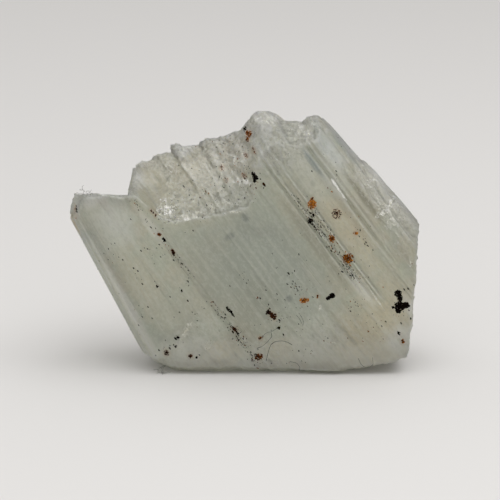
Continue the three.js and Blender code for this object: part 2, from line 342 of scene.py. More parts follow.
def smoothstep(values: np.ndarray, low: float, high: float) -> np.ndarray:
    """Values stepped smoothly from 0 at low to 1 at high."""
    share = np.clip((values - low) / (high - low), 0.0, 1.0)
    return share * share * (3.0 - 2.0 * share)


# ---------------------------------------------------------------- the crystal's own axes


@dataclass(frozen=True)
class Growth:
    """The directions the crystal grew in: across its growth lines, through it and along them.

    The lines lean to the left. Over the left edge they stand a little steeper than elsewhere.
    """

    lean: float = math.radians(55.0)
    left_turn: float = 0.142
    right_turn: float = -0.03
    turn_start_mm: float = -5.6
    turn_end_mm: float = 1.3
    turn_height_mm: float = 12.3
    rounds: int = 4

    def upright(self) -> Matrix:
        """The turn about Y that stands the growth lines along Z."""
        return Matrix.Rotation(math.pi / 2 - self.lean, 4, "Y")

    def along(self) -> np.ndarray:
        """The direction of the growth lines."""
        return np.array((-math.cos(self.lean), 0.0, math.sin(self.lean)))

    def slope(self, across: np.ndarray) -> np.ndarray:
        """How much steeper the lines stand, by how far across they are."""
        share = smoothstep(across, self.turn_start_mm, self.turn_end_mm)
        return self.left_turn + (self.right_turn - self.left_turn) * share

    def read(self, points: np.ndarray) -> np.ndarray:
        """Points on the growth axes, following the turning lines.

        Args:
            points: rows of x, y and z.

        Returns:
            Rows of across, depth and along, in millimetres.
        """
        rows = (points / MM) @ np.array(self.upright().to_3x3()).T
        straight = rows[:, 0].copy()
        for _ in range(self.rounds):
            rows[:, 0] = straight - self.slope(rows[:, 0]) * (rows[:, 2] - self.turn_height_mm)
        return rows

    def front(self, across: float, along: float) -> tuple[float, float]:
        """The x and z of a place on the growth axes, all in millimetres.

        Args:
            across: how far over the growth lines.
            along: how far up them.

        Returns:
            x and z.
        """
        straight = across + float(self.slope(across)) * (along - self.turn_height_mm)
        x = straight * math.sin(self.lean) - along * math.cos(self.lean)
        return x, straight * math.cos(self.lean) + along * math.sin(self.lean)


GROWTH = Growth()


# ---------------------------------------------------------------- effects the finishes share


class Effects:
    """The shader groups, each made once."""

    @staticmethod
    @cache
    def patch() -> NodeTree:
        """A soft-edged oval patch with a ragged rim.

        Returns:
            The group.
        """
        inputs = {"Growth": "Vector", "Centre": "Vector", "Radii": "Vector"}
        inputs |= {"Wobble": 0.0, "Ragged": 1.0}
        sheet, given, out = new_group("ShaderNodeTree", "soft patch", inputs, {"Mask": "Float"})
        whole, gone = 0.35, 1.15
        away = sheet.vector("SUBTRACT", given["Growth"], given["Centre"])
        reach = sheet.vector("LENGTH", sheet.vector("DIVIDE", away, given["Radii"]))
        reach = sheet.math("MULTIPLY_ADD", given["Wobble"], given["Ragged"], reach)
        sheet.feed(out, {"Mask": sheet.span(reach, whole, gone, 1.0, 0.0)})
        return sheet.tree

    @staticmethod
    @cache
    def lines() -> NodeTree:
        """Fine growth lines of uneven width that start and stop along the crystal.

        Returns:
            The group.
        """
        inputs = {"Growth": "Vector", "Fineness": 4.0, "Low": 0.5, "High": 0.6}
        sheet, given, out = new_group("ShaderNodeTree", "growth lines", inputs, {"Mask": "Float"})
        drawn = sheet.vector("MULTIPLY", given["Growth"], (1.0, 0.2, 0.03))
        fine = sheet.noise(drawn, given["Fineness"], 2.0, 0.6)
        sheet.feed(out, {"Mask": sheet.span(fine, given["Low"], given["High"])})
        return sheet.tree

    @staticmethod
    @cache
    def specks() -> NodeTree:
        """Soft dark specks that lie under the surface, a few cells apart.

        Returns:
            The group.
        """
        inputs = {"Growth": "Vector", "Fineness": 1.0, "Share": 0.8}
        sheet, given, out = new_group("ShaderNodeTree", "inner specks", inputs, {"Mask": "Float"})
        heart, small, large = 0.03, 0.12, 0.30
        drawn = sheet.vector("MULTIPLY", given["Growth"], (1.0, 1.0, 0.8))
        cells = sheet.add("ShaderNodeTexVoronoi", {"Vector": drawn, "Scale": given["Fineness"]})
        pick = sheet.add("ShaderNodeSeparateColor", {0: cells.outputs["Color"]}).outputs
        chosen = sheet.math("GREATER_THAN", pick[0], given["Share"])
        reach = sheet.span(pick[1], 0.0, 1.0, small, large)
        soft = sheet.span(cells.outputs["Distance"], reach, heart, 0.0, 1.0)
        sheet.feed(out, {"Mask": sheet.times(soft, chosen)})
        return sheet.tree

    @staticmethod
    @cache
    def grit() -> NodeTree:
        """Fine angular grit: its height, and a mask of its glinting faces.

        Returns:
            The group.
        """
        inputs = {"Point": "Vector", "Fineness": 5.0, "Share": 0.8}
        outputs = {"Height": "Float", "Glint": "Float"}
        sheet, given, out = new_group("ShaderNodeTree", "grit", inputs, outputs)
        roughened, rim = 0.3, 0.04
        planes, picked = sheet.facets(given["Point"], given["Fineness"])
        soft = sheet.noise(given["Point"], given["Fineness"], 3.0, 0.65)
        fine = sheet.math("DIVIDE", soft, given["Fineness"])
        pick = sheet.read("ShaderNodeSeparateColor", {0: picked})
        over = sheet.math("ADD", given["Share"], rim)
        sheet.feed(out, {"Height": sheet.math("MULTIPLY_ADD", fine, roughened, planes)})
        sheet.feed(out, {"Glint": sheet.span(pick, given["Share"], over)})
        return sheet.tree


# ---------------------------------------------------------------- finishes


@dataclass(frozen=True)
class Reading:
    """What the crystal's material reads at a place.

    Growth is the place on the growth axes and wobble an unevenness for the rims of patches. Broken
    is 1 on the breaks. Edge is positive on edges and negative in grooves.
    """

    sheet: Sheet
    growth: NodeSocket
    broken: NodeSocket
    edge: NodeSocket
    wobble: NodeSocket


@dataclass(frozen=True)
class Patch:
    """An oval region of the crystal, placed on its growth axes."""

    across_mm: float
    along_mm: float
    wide_mm: float
    long_mm: float
    strength: float = 1.0
    ragged: float = 0.5
    depth_mm: float = 0.0
    deep_mm: float = 40.0

    def mask(self, at: Reading) -> NodeSocket:
        """The patch in a material, times its strength.

        Args:
            at: what the material reads.

        Returns:
            The mask.
        """
        node = at.sheet.group(
            Effects.patch(),
            Growth=at.growth,
            Centre=(self.across_mm, self.depth_mm, self.along_mm),
            Radii=(self.wide_mm, self.deep_mm, self.long_mm),
            Wobble=at.wobble,
            Ragged=self.ragged,
        )
        return at.sheet.times(node.outputs[0], self.strength)

    def cover(self, growth: np.ndarray) -> np.ndarray:
        """The patch on the front of a mesh, times its strength.

        Args:
            growth: the mesh's points on the growth axes, one row each.

        Returns:
            One number per point.
        """
        whole, gone = 0.5, 1.1
        over = (growth[:, 0] - self.across_mm) / self.wide_mm
        up = (growth[:, 2] - self.along_mm) / self.long_mm
        inside = 1.0 - smoothstep(np.hypot(over, up), whole, gone)
        return self.strength * inside * (growth[:, 1] < 0.0)


def patches(*rows: tuple) -> tuple[Patch, ...]:
    """Patches from rows of their values."""
    return tuple(Patch(*row) for row in rows)


@dataclass(frozen=True)
class BariteFinish:
    """Pale, milky, half clear barite with silky growth lines and rough whitish breaks.

    Each texture is given as how fine it is, its finer layers and their strength.
    """

    beige: tuple = (0.73, 0.68, 0.54)
    blue: tuple = (0.53, 0.55, 0.48)
    green: tuple = (0.68, 0.70, 0.58)
    pale: tuple = (0.86, 0.85, 0.76)
    warm: tuple = (0.84, 0.72, 0.51)
    chalk: tuple = (0.99, 0.95, 0.84)
    frost: tuple = (0.98, 0.97, 0.92)
    # Shade darkens the grain and the inner specks, and is the painted shade of the grooves.
    shade: tuple = (0.42, 0.43, 0.36)
    rust: tuple = (0.60, 0.30, 0.10)
    amber: tuple = (0.70, 0.50, 0.24)
    olive: tuple = (0.38, 0.35, 0.25)
    ice: tuple = (0.84, 0.91, 0.93)
    dusk: tuple = (0.16, 0.18, 0.17)
    # Umber serves only the painted contact shadow along the sole.
    umber: tuple = (0.33, 0.26, 0.16)
    steel: tuple = (0.33, 0.39, 0.41)
    clear: tuple = (0.44, 0.48, 0.46)
    transmission: float = 0.8
    index: float = 1.64
    scatter: float = 0.85
    scatter_radius: tuple = (1.0, 1.0, 0.85)
    scatter_depth: float = 1.2 * MM
    absorb: tuple = (0.40, 0.47, 0.38)
    absorb_density: float = 80.0
    satin: tuple = (0.34, 0.36)
    satin_unevenness: float = 0.20
    glint_polish: float = -0.25
    haze_roughness: float = 0.5
    haze_index: float = 2.2
    chip_height_mm: float = 0.78
    rib_height_mm: float = 0.022
    rim_wobble: tuple = (0.9, 3.0, 0.6)
    mottle: tuple = (2.0, 3.0, 0.6)
    crumbs: tuple = (5.0, 3.0, 0.7)
    clouds: tuple = (0.35, 3.0, 0.55)
    milk: tuple = (2.4, 4.0, 0.65)
    grain: tuple = (4.5, 3.0, 0.7)
    chipping: tuple = (1.3, 3.0, 0.6)
    foot_mm: tuple = (4.4, 1.0)
    sole_mm: tuple = (1.7, 0.3)
    # Chalk over the foot is partly a pale bruised foot, partly painted light over the undercut's shade.
    foot_chalk_and_painted_light: float = 0.55
    foot_haze: float = 0.6
    foot_raggedness_mm: float = 4.0
    # The sole's umber is a painted contact shadow.
    sole_painted_shadow: float = 0.3
    veil: tuple = (0.32, 0.16)
    stain: float = 0.40
    speck_share: float = 0.55
    break_haze: float = 0.15
    rim_haze: float = 0.35
    rim_frost: float = 0.35
    # How strong the painted shade in the grooves is.
    painted_groove_shade: float = 0.55
    glitter: Patch = Patch(3.1, 15.3, 0.95, 1.1)
    # Where the painted shade of the grooves is held back.
    faint_grooves: tuple = patches((1.4, 8.0, 0.7, 14.0, 0.8, 0.0), (-4.4, 9.5, 0.7, 14.0, 0.9, 0.0))
    hazes: tuple = patches(
        (11.9, 16.3, 2.2, 3.2, 1.0, 1.2), (8.6, 15.6, 2.6, 2.2, 0.9, 1.0),
        (14.5, 16.8, 2.6, 1.8, 0.3, 1.0), (17.1, 11.4, 0.9, 2.2, 1.1, 0.8),
        (18.1, 8.0, 0.8, 3.6, 0.7, 1.0), (18.7, 5.2, 0.7, 3.6, 1.2, 0.6), (18.4, 3.5, 1.2, 4.0, 0.7, 1.0),
        (18.9, 6.5, 0.7, 4.5, 1.2, 0.6), (16.4, 14.4, 0.9, 1.0, 1.2, 0.8),
        (-4.25, 9.5, 0.55, 9.0, 0.9, 0.4), (-2.0, 19.8, 1.6, 0.6, 1.2, 0.5),
        (-4.5, 20.0, 0.8, 0.8, 1.2, 0.5), (0.0, 18.5, 1.0, 0.7, 1.2, 0.5),
        (-0.8, 17.6, 1.9, 3.2, 1.2, 0.8), (10.6, 17.4, 1.8, 1.4, 1.2, 0.8),
        (7.4, 19.6, 1.8, 0.8, 1.2, 0.6), (2.9, 20.0, 0.9, 1.0, 1.2, 0.6),
        (13.9, 16.8, 1.6, 1.2, 1.2, 0.6), (13.6, 13.6, 2.2, 1.5, 0.2, 1.4),
        (10.6, 15.6, 1.4, 1.6, 1.3, 0.4), (6.2, 17.0, 0.6, 1.6, 1.0, 0.4),
        (1.25, 15.2, 0.5, 2.6, 0.8, 0.3), (12.25, 1.0, 0.5, 2.6, 0.8, 0.5),
        (16.5, 7.6, 0.3, 3.6, 0.5, 0.3), (12.4, -5.2, 2.2, 1.8, 0.9, 0.8),
        (14.6, -3.6, 0.8, 1.8, 1.0, 0.8), (7.0, 18.6, 2.2, 0.9, 1.2, 0.6),
        (2.4, 19.0, 0.7, 1.2, 1.2, 0.6),
    )
    # Mostly the crystal's own tones; the patches marked below are painted light or painted shade.
    tints_and_painted_light: tuple = (
        ("pale", -2.6, 17.5, 2.6, 3.4, 0.8, 0.6), ("green", -5.2, 11.0, 1.1, 14.0, 0.7, 0.4),
        ("pale", 15.3, 11.6, 2.6, 4.2, 0.8, 0.8), ("ice", 17.1, 12.2, 0.8, 3.0, 0.6, 0.8),
        ("chalk", 8.8, 15.4, 2.4, 2.2, 0.8, 1.0), ("chalk", 12.9, 15.4, 1.4, 2.6, 1.0, 0.8),
        ("chalk", 16.4, 14.4, 0.8, 0.9, 1.0, 0.6), ("chalk", 18.9, 6.0, 0.6, 4.5, 1.0, 0.5),
        # On the next line, the chalk at -4.35, 9.5 is painted light lifting the shade beside the left
        # bevel, and the olive at 11.45, 5.8 is painted shade along the heart's right border.
        ("chalk", -4.35, 9.5, 0.5, 9.0, 0.8, 0.4), ("olive", 11.45, 5.8, 0.6, 6.5, 0.9, 0.3),
        ("olive", 2.6, 6.6, 1.6, 5.8, 0.5, 0.8), ("warm", 11.0, -4.5, 6.0, 5.5, 0.8, 0.8),
        ("blue", 6.9, 6.5, 4.6, 8.5, 1.0, 0.5), ("blue", 3.2, 8.0, 2.6, 8.0, 0.6, 0.5),
        # On the next line, the chalk at 11.7, 16.5 is painted light lifting the shade of a steep break
        # slope.
        ("blue", -1.6, 6.5, 3.6, 5.0, 0.4, 0.6), ("chalk", 11.7, 16.5, 1.8, 3.4, 0.9, 1.0),
        ("chalk", 13.6, 16.8, 1.6, 1.2, 0.7, 1.0), ("beige", 3.0, 17.3, 1.4, 2.2, 0.7, 0.6),
        ("steel", 15.35, 11.9, 0.34, 1.8, 0.9, 0.3), ("steel", 18.05, 11.4, 0.3, 3.0, 0.6, 0.4),
        ("olive", 16.92, 6.6, 0.34, 3.4, 1.0, 0.15), ("olive", 16.2, 12.6, 0.16, 1.6, 0.6, 0.3),
        ("warm", 14.2, 5.0, 1.6, 5.0, 0.6, 0.8), ("dusk", 8.1, 11.4, 0.42, 0.55, 0.7, 0.4, -5.0, 3.0),
        ("dusk", 6.1, 10.8, 0.55, 0.35, 0.6, 0.4, -5.0, 3.0),
        ("dusk", 6.8, 3.5, 0.42, 0.42, 0.8, 0.4, -5.0, 3.0),
        ("dusk", 7.2, 14.0, 0.3, 0.45, 0.5, 0.4, -5.0, 3.0), ("olive", 4.6, 5.0, 2.2, 2.6, 0.25, 0.8),
        ("warm", -1.8, 2.5, 3.8, 2.0, 0.9, 1.2), ("warm", 2.4, 0.2, 3.0, 1.4, 0.7, 1.2),
        # On the next line, the olive at -2.0, 1.9 is a painted contact shadow along the bottom edge.
        ("olive", -2.0, 1.9, 2.8, 0.6, 0.7, 1.4), ("chalk", -2.6, 4.4, 0.5, 1.2, 0.8, 1.2),
        ("clear", 4.6, 17.6, 0.5, 0.9, 0.6, 0.6), ("clear", -4.9, 17.6, 1.6, 0.8, 0.5, 0.8),
        # On the next two lines, the pale patches at 6.5, -0.8 and at 0.9, 0.4 are painted light lifting
        # the shade of the undercut foot.
        ("amber", -5.5, 18.9, 0.8, 1.3, 1.0, 0.6, -2.6, 2.2), ("pale", 6.5, -0.8, 2.6, 2.2, 0.7, 1.2),
        ("pale", 0.9, 0.4, 2.2, 1.3, 0.7, 1.2), ("frost", -1.8, 4.0, 1.5, 1.9, 0.5, 1.4),
        ("chalk", 10.6, 17.4, 1.8, 1.4, 1.0, 0.8), ("chalk", 7.4, 19.6, 1.8, 0.8, 1.0, 0.6),
        ("chalk", 2.9, 20.0, 0.9, 1.0, 1.0, 0.6), ("olive", 5.1, 17.4, 0.5, 1.6, 0.6, 0.5),
        # On the next two lines, the chalk at 12.4, -5.2 and at 14.6, -3.6 is painted light lifting the
        # shade of the lower right corner.
        ("warm", 5.4, 16.0, 5.2, 3.4, 0.35, 0.8), ("chalk", 12.4, -5.2, 2.0, 1.6, 0.8, 0.8),
        ("chalk", 14.6, -3.6, 0.7, 1.8, 0.8, 0.8), ("chalk", 7.0, 18.6, 2.2, 0.9, 1.0, 0.6),
        ("chalk", 2.4, 19.0, 0.7, 1.2, 1.0, 0.6), ("olive", 1.6, 2.8, 1.6, 1.5, 0.7, 0.8),
        ("chalk", 10.6, 15.6, 1.4, 1.6, 1.0, 0.4), ("chalk", 13.9, 16.8, 1.6, 1.2, 1.0, 0.6),
        ("chalk", -2.0, 19.8, 1.6, 0.6, 1.0, 0.5), ("chalk", 18.5, 5.8, 0.7, 3.6, 0.9, 0.8),
        # On the next two lines, the chalk at 1.25, 15.2 and at 12.25, 1.0 is painted light lifting the
        # shade of the grooves there.
        ("warm", 10.4, 15.6, 2.0, 2.4, 0.6, 0.6), ("chalk", 1.25, 15.2, 0.5, 2.6, 0.8, 0.3),
        ("chalk", 12.25, 1.0, 0.5, 2.6, 0.8, 0.5),
    )

    def material(self) -> Material:
        """Makes the crystal's material.

        Returns:
            The material.
        """
        made, sheet, shader, out = new_material("barite")
        inside = {"Color": self.absorb, "Density": self.absorb_density}
        sheet.feed(out, {"Volume": sheet.read("ShaderNodeVolumeAbsorption", inside)})
        growth = sheet.attribute("growth", "Vector")
        broken = sheet.attribute("broken")
        wobble = sheet.ripple(growth, *self.rim_wobble)
        at = Reading(sheet, growth, broken, sheet.attribute("edge"), wobble)
        grit = sheet.group(Effects.grit(), Point=growth, Fineness=6.0, Share=0.80).outputs
        glint = sheet.times(grit["Glint"], self.glitter.mask(at))
        lines = sheet.group(Effects.lines(), Growth=growth, Fineness=3.6, Low=0.48, High=0.66)
        silk = lines.outputs[0]

        foot = self.foot(at, *self.foot_mm)
        sole = self.foot(at, *self.sole_mm)
        colour = self.body_colour(at)
        # Chalk over the foot: partly a pale bruised foot, partly painted light lifting the shade of the
        # undercut.
        colour = sheet.mix(sheet.times(foot, self.foot_chalk_and_painted_light), colour, self.chalk)
        # Umber along the very bottom: a painted contact shadow.
        colour = sheet.mix(sheet.times(sole, self.sole_painted_shadow), colour, self.umber)
        veil = sheet.times(silk, sheet.span(broken, 0.0, 1.0, *self.veil))
        colour = self.edge_colour(at, sheet.mix(veil, colour, self.pale))
        # Frost on the glinting facets of the glitter patch: partly white flakes, partly a painted glint.
        colour = sheet.mix(glint, colour, self.frost)
        stain = sheet.times(sheet.attribute("stain"), self.stain)

        satin = sheet.span(broken, 0.0, 1.0, *self.satin)
        mottle = sheet.ripple(growth, *self.mottle)
        uneven = sheet.math("MULTIPLY_ADD", mottle, self.satin_unevenness, satin)
        haze = sheet.math("MAXIMUM", self.haze(at), sheet.times(foot, self.foot_haze))
        chips = sheet.times(grit["Height"], sheet.times(broken, self.chip_height_mm))
        ribs = sheet.times(silk, sheet.times(sheet.rest(broken), self.rib_height_mm))
        settings = {
            "Base Color": sheet.mix(stain, colour, self.rust),
            "Roughness": sheet.math("MULTIPLY_ADD", glint, self.glint_polish, uneven),
            "Transmission Weight": self.transmission,
            "IOR": self.index,
            "Subsurface Weight": self.scatter,
            "Subsurface Radius": self.scatter_radius,
            "Subsurface Scale": self.scatter_depth,
            "Coat Weight": haze,
            "Coat Roughness": self.haze_roughness,
            "Coat IOR": self.haze_index,
            "Normal": sheet.bump(sheet.math("ADD", chips, ribs)),
        }
        sheet.feed(shader, settings)
        return made

    def foot(self, at: Reading, top_mm: float, low_mm: float) -> NodeSocket:
        """A band at the foot, ragged at its top: 1 at the floor, 0 above it.

        Args:
            at: what the material reads.
            top_mm: how high it reaches.
            low_mm: the height below which it is whole.

        Returns:
            The mask.
        """
        height = at.sheet.upward(at.sheet.place_mm())
        uneven = at.sheet.math("MULTIPLY_ADD", at.wobble, self.foot_raggedness_mm, height)
        return at.sheet.span(uneven, top_mm, low_mm)

    def haze(self, at: Reading) -> NodeSocket:
        """Where fine frost catches the light: on some breaks, and in crumbs along the edges.

        Args:
            at: what the material reads.

        Returns:
            How strong the frost is.
        """
        sheet = at.sheet
        gaps = sheet.span(at.broken, 0.0, 1.0, 0.8, 0.4)
        crumbs = sheet.span(sheet.noise(at.growth, *self.crumbs), 0.42, 0.60, gaps, 1.0)
        frost = sheet.times(at.broken, self.break_haze)
        for patch in self.hazes:
            frost = sheet.math("MAXIMUM", frost, patch.mask(at))
        rim = sheet.span(at.edge, 0.15, 0.7, 0.0, self.rim_haze)
        return sheet.math("MULTIPLY", sheet.math("MAXIMUM", frost, rim), crumbs, clamp=True)

    def body_colour(self, at: Reading) -> NodeSocket:
        """The colour of the clear body: blue-grey in its heart, beige and green around it, with some
        patches of painted light and painted shade among the tinted ones.

        Args:
            at: what the material reads.

        Returns:
            The colour.
        """
        sheet = at.sheet
        clouds = sheet.noise(at.growth, *self.clouds)
        colour = sheet.mix(sheet.span(clouds, 0.40, 0.62), self.beige, self.green)
        milk = sheet.span(sheet.noise(at.growth, *self.milk), 0.35, 0.65, 0.60, 0.95)
        colour = sheet.mix(sheet.times(at.broken, milk), colour, self.chalk)
        for tone, *place in self.tints_and_painted_light:
            colour = sheet.mix(Patch(*place).mask(at), colour, getattr(self, tone))
        grain = sheet.vector("MULTIPLY", at.growth, (1.0, 1.0, 0.6))
        grain = sheet.noise(grain, *self.grain)
        for tone, far, on_breaks, elsewhere in (
            (self.frost, 0.62, 0.45, 0.25),
            (self.shade, 0.38, 0.25, 0.28),
        ):
            strength = sheet.math("MULTIPLY_ADD", at.broken, on_breaks, elsewhere)
            colour = sheet.mix(sheet.times(sheet.span(grain, 0.50, far), strength), colour, tone)
        specks = sheet.group(Effects.specks(), Growth=at.growth, Fineness=0.9, Share=0.83)
        return sheet.mix(sheet.times(specks.outputs[0], self.speck_share), colour, self.shade)

    def edge_colour(self, at: Reading, colour: NodeSocket) -> NodeSocket:
        """Pale frosted edges, and painted shade that darkens the grooves.

        Args:
            at: what the material reads.
            colour: the colour under them.

        Returns:
            The colour.
        """
        sheet = at.sheet
        chipped = sheet.span(sheet.noise(at.growth, *self.chipping), 0.3, 0.6)
        rim = sheet.times(sheet.span(at.edge, 0.15, 0.8), chipped, self.rim_frost)
        colour = sheet.mix(rim, colour, self.frost)
        first, second = (patch.mask(at) for patch in self.faint_grooves)
        # Painted shade: grooves darkened towards the shade colour, less on the breaks and over the faint
        # grooves.
        groove = sheet.span(at.edge, -0.15, -0.8, 0.0, self.painted_groove_shade)
        groove = sheet.times(groove, sheet.rest(sheet.math("MAXIMUM", first, second)))
        on_breaks = sheet.span(at.broken, 0.0, 1.0, 1.0, 0.4)
        return sheet.mix(sheet.times(groove, on_breaks), colour, self.shade)


@dataclass(frozen=True)
class GrainFinish:
    """Dull loose grains. Each takes its own tone from dark to light."""

    name: str
    dark: tuple
    middle: tuple
    light: tuple
    roughness: float = 0.7
    specular: float = 0.2
    fineness: float = 14.0
    blotches: tuple = (6.0, 2.0)
    patchiness: float = 0.9
    glint_polish: float = -0.35

    def material(self) -> Material:
        """Makes the grains' material.

        Returns:
            The material.
        """
        made, sheet, shader, _ = new_material(self.name)
        point = sheet.place_mm()
        grit = sheet.group(Effects.grit(), Point=point, Fineness=self.fineness, Share=0.9).outputs
        uneven = sheet.ripple(point, *self.blotches)
        tone = sheet.math("MULTIPLY_ADD", uneven, self.patchiness, sheet.attribute("tone"))
        colour = sheet.mix(sheet.span(tone, 0.1, 0.5), self.dark, self.middle)
        settings = {
            "Base Color": sheet.mix(sheet.span(tone, 0.5, 0.95), colour, self.light),
            "Roughness": sheet.math("MULTIPLY_ADD", grit["Glint"], self.glint_polish, self.roughness),
            "Specular IOR Level": self.specular,
            "Normal": sheet.bump(grit["Height"]),
        }
        sheet.feed(shader, settings)
        return made


RUST = GrainFinish(
    name="rust",
    dark=(0.020, 0.006, 0.002),
    middle=(0.17, 0.050, 0.008),
    light=(0.50, 0.20, 0.03),
    specular=0.08,
)
BLACK = GrainFinish(
    name="manganese_black",
    dark=(0.002, 0.001, 0.001),
    middle=(0.006, 0.004, 0.002),
    light=(0.03, 0.018, 0.010),
    specular=0.02,
)
WHITE = GrainFinish(
    name="crushed_barite",
    dark=(0.62, 0.60, 0.50),
    middle=(0.86, 0.85, 0.77),
    light=(0.98, 0.97, 0.94),
    roughness=0.35,
)


@dataclass(frozen=True)
class FibreFinish:
    """Textile fibre, from dark to pale along the strand."""

    dark: tuple = (0.045, 0.050, 0.040)
    light: tuple = (0.30, 0.30, 0.26)
    bands: tuple = (4.0, 2.0)
    roughness: float = 0.45
    unevenness: float = 0.2

    def material(self) -> Material:
        """Makes the fibres' material.

        Returns:
            The material.
        """
        made, sheet, shader, _ = new_material("lint")
        bands = sheet.span(sheet.noise(sheet.place_mm(), *self.bands), 0.35, 0.65)
        rough = sheet.math("MULTIPLY_ADD", bands, self.unevenness, self.roughness)
        sheet.feed(shader, {"Base Color": sheet.mix(bands, self.dark, self.light)})
        sheet.feed(shader, {"Roughness": rough})
        return made


@dataclass(frozen=True)
class PaperFinish:
    """The plain pale floor."""

    colour: tuple = (0.675, 0.665, 0.655)
    roughness: float = 0.9
    specular: float = 0.1

    def material(self) -> Material:
        """Makes the floor's material.

        Returns:
            The material.
        """
        made, sheet, shader, _ = new_material("pale_floor")
        settings = {"Base Color": self.colour, "Roughness": self.roughness}
        sheet.feed(shader, settings | {"Specular IOR Level": self.specular})
        return made


# ---------------------------------------------------------------- the crystal


@dataclass
class CrystalBody:
    """The crystal itself: a fine skin over the frame's solid, with growth lines and breaks."""

    finish: BariteFinish
    stains: list
    cell: float = 0.117 * MM
    squeeze: float = 0.5
    weld: float = 2e-6
    line_depth_mm: float = 0.012
    break_slope: float = 0.36
    splinters: float = 0.35
    line_stretch: tuple = (1.0, 0.12, 0.02)
    line_texture: tuple = (2.2, 2.0, 0.6)
    break_stretch: tuple = (1.0, 1.0, 0.45)
    break_texture: tuple = (2.5, 3.0, 0.7)
    facets_per_mm: tuple = (1.5, 3.2)
    break_facing: tuple = (0.16, 0.34)
    floor_rise_mm: tuple = (0.05, 0.7)
    edge_contrast: float = 2.5
    stain_heart: float = 0.3
    seed: float = 4.0
    piece: Object | None = None
    wear: tuple = patches(
        (3.0, 17.3, 1.3, 2.0, -0.9), (17.7, 7.6, 1.0, 3.6, 0.6), (18.6, 3.0, 1.1, 4.5, 0.7),
        (16.9, 11.4, 0.6, 2.6, 0.5), (13.9, 14.8, 1.5, 1.4, 0.6), (12.9, 15.0, 1.2, 1.8, 0.4),
        (13.6, 13.2, 2.2, 1.8, 0.45), (-1.5, 4.2, 3.4, 3.0, 0.35), (3.0, 0.8, 3.0, 1.6, 0.3),
        (7.5, -1.5, 3.5, 2.5, 0.25), (-5.0, 17.2, 1.2, 1.2, -0.7),
    )

    def build(self, node: Object) -> None:
        """Makes the fine skin.

        Args:
            node: the frame's solid.
        """
        solid = self.upright_copy(node)
        solid.transform(Matrix.Scale(self.squeeze, 4, (0.0, 0.0, 1.0)))
        self.piece = show("barite_skin", solid)
        remesh = self.piece.modifiers.new("skin", "REMESH")
        remesh.mode = "VOXEL"
        remesh.voxel_size = self.cell
        settle(self.piece)
        mesh = self.piece.data
        mesh.transform(Matrix.Scale(1.0 / self.squeeze, 4, (0.0, 0.0, 1.0)))
        mesh.transform(GROWTH.upright().inverted())
        self.fit(node)
        run_tree(
            self.piece,
            self.relief_tree(),
            Line_Depth=self.line_depth_mm * MM,
            Break_Slope=self.break_slope,
            Seed=self.seed,
            Material=self.finish.material(),
        )
        self.read_edges()
        self.read_stains()

    def upright_copy(self, node: Object) -> Mesh:
        """The node's mesh, merged, with its growth lines along Z.

        Args:
            node: the frame's solid.

        Returns:
            The new mesh.
        """
        mesh = node.data.copy()
        work = bmesh.new()
        work.from_mesh(mesh)
        bmesh.ops.remove_doubles(work, verts=work.verts, dist=self.weld)
        work.to_mesh(mesh)
        work.free()
        mesh.materials.clear()
        mesh.transform(GROWTH.upright())
        return mesh

    def fit(self, node: Object) -> None:
        """Brings every point of the skin onto the solid and marks where it is broken.

        Args:
            node: the frame's solid.
        """
        mesh = self.piece.data
        solid = search(node.data)
        points = fetch(mesh.vertices, "co", 3)
        normals = np.empty_like(points)
        for index, point in enumerate(points):
            points[index], normals[index], _, _ = solid.find_nearest(Vector(point.tolist()))
        mesh.vertices.foreach_set("co", points.ravel())
        mesh.update()
        growth = GROWTH.read(points)
        broken = smoothstep(np.abs(normals @ GROWTH.along()), *self.break_facing)
        for patch in self.wear:
            broken = np.clip(broken + patch.cover(growth), 0.0, 1.0)
        mark(mesh, "broken", self.blur(mesh, broken, 3))
        mark(mesh, "growth", growth)

    def blur(self, mesh: Mesh, values: np.ndarray, rounds: int) -> np.ndarray:
        """Evens out numbers over neighbouring points.

        Args:
            mesh: the mesh that the numbers belong to.
            values: one number per point.
            rounds: how often they are evened.

        Returns:
            The softer numbers.
        """
        a, b = fetch(mesh.edges, "vertices", 2).T
        size = len(values)
        count = np.bincount(a, minlength=size) + np.bincount(b, minlength=size) + 1.0
        for _ in range(rounds):
            total = values + np.bincount(a, values[b], size) + np.bincount(b, values[a], size)
            values = total / count
        return values

    def read_edges(self) -> None:
        """Marks the skin's edges, as positive numbers, and its grooves, as negative ones."""
        mesh = self.piece.data
        points = fetch(mesh.vertices, "co", 3).astype(float)
        even = np.stack([self.blur(mesh, points[:, axis], 4) for axis in range(3)], 1)
        bulge = ((points - even) * fetch(mesh.vertices, "normal", 3)).sum(1) / self.cell
        mark(mesh, "edge", self.blur(mesh, np.clip(bulge * self.edge_contrast, -1.0, 1.0), 1))

    def read_stains(self) -> None:
        """Marks where the rust grains stain the front around them."""
        mesh = self.piece.data
        points = fetch(mesh.vertices, "co", 3).astype(float) / MM
        stain = np.zeros(len(points))
        for x, z, reach in self.stains:
            away = np.hypot(points[:, 0] - x, points[:, 2] - z)
            soft = smoothstep(-away, -reach, -self.stain_heart * reach)
            stain = np.maximum(stain, (points[:, 1] < 0.0) * soft)
        mark(mesh, "stain", stain)

    def relief_tree(self) -> NodeTree:
        """The tree that raises the growth lines and splinters the breaks.

        Returns:
            The tree.
        """
        inputs = {"Geometry": "Geometry", "Line Depth": 0.0, "Break Slope": 0.0, "Seed": 0.0}
        inputs |= {"Material": "Material"}
        name = "growth relief"
        sheet, given, out = new_group("GeometryNodeTree", name, inputs, {"Geometry": "Geometry"})
        broken = sheet.stored("broken")
        shift = sheet.read("ShaderNodeCombineXYZ", {"X": given["Seed"]})
        at = sheet.vector("ADD", sheet.stored("growth", "FLOAT_VECTOR"), shift)

        drawn = sheet.vector("MULTIPLY", at, self.line_stretch)
        lines = sheet.ripple(drawn, *self.line_texture)
        lines = sheet.times(lines, sheet.rest(broken), given["Line Depth"])

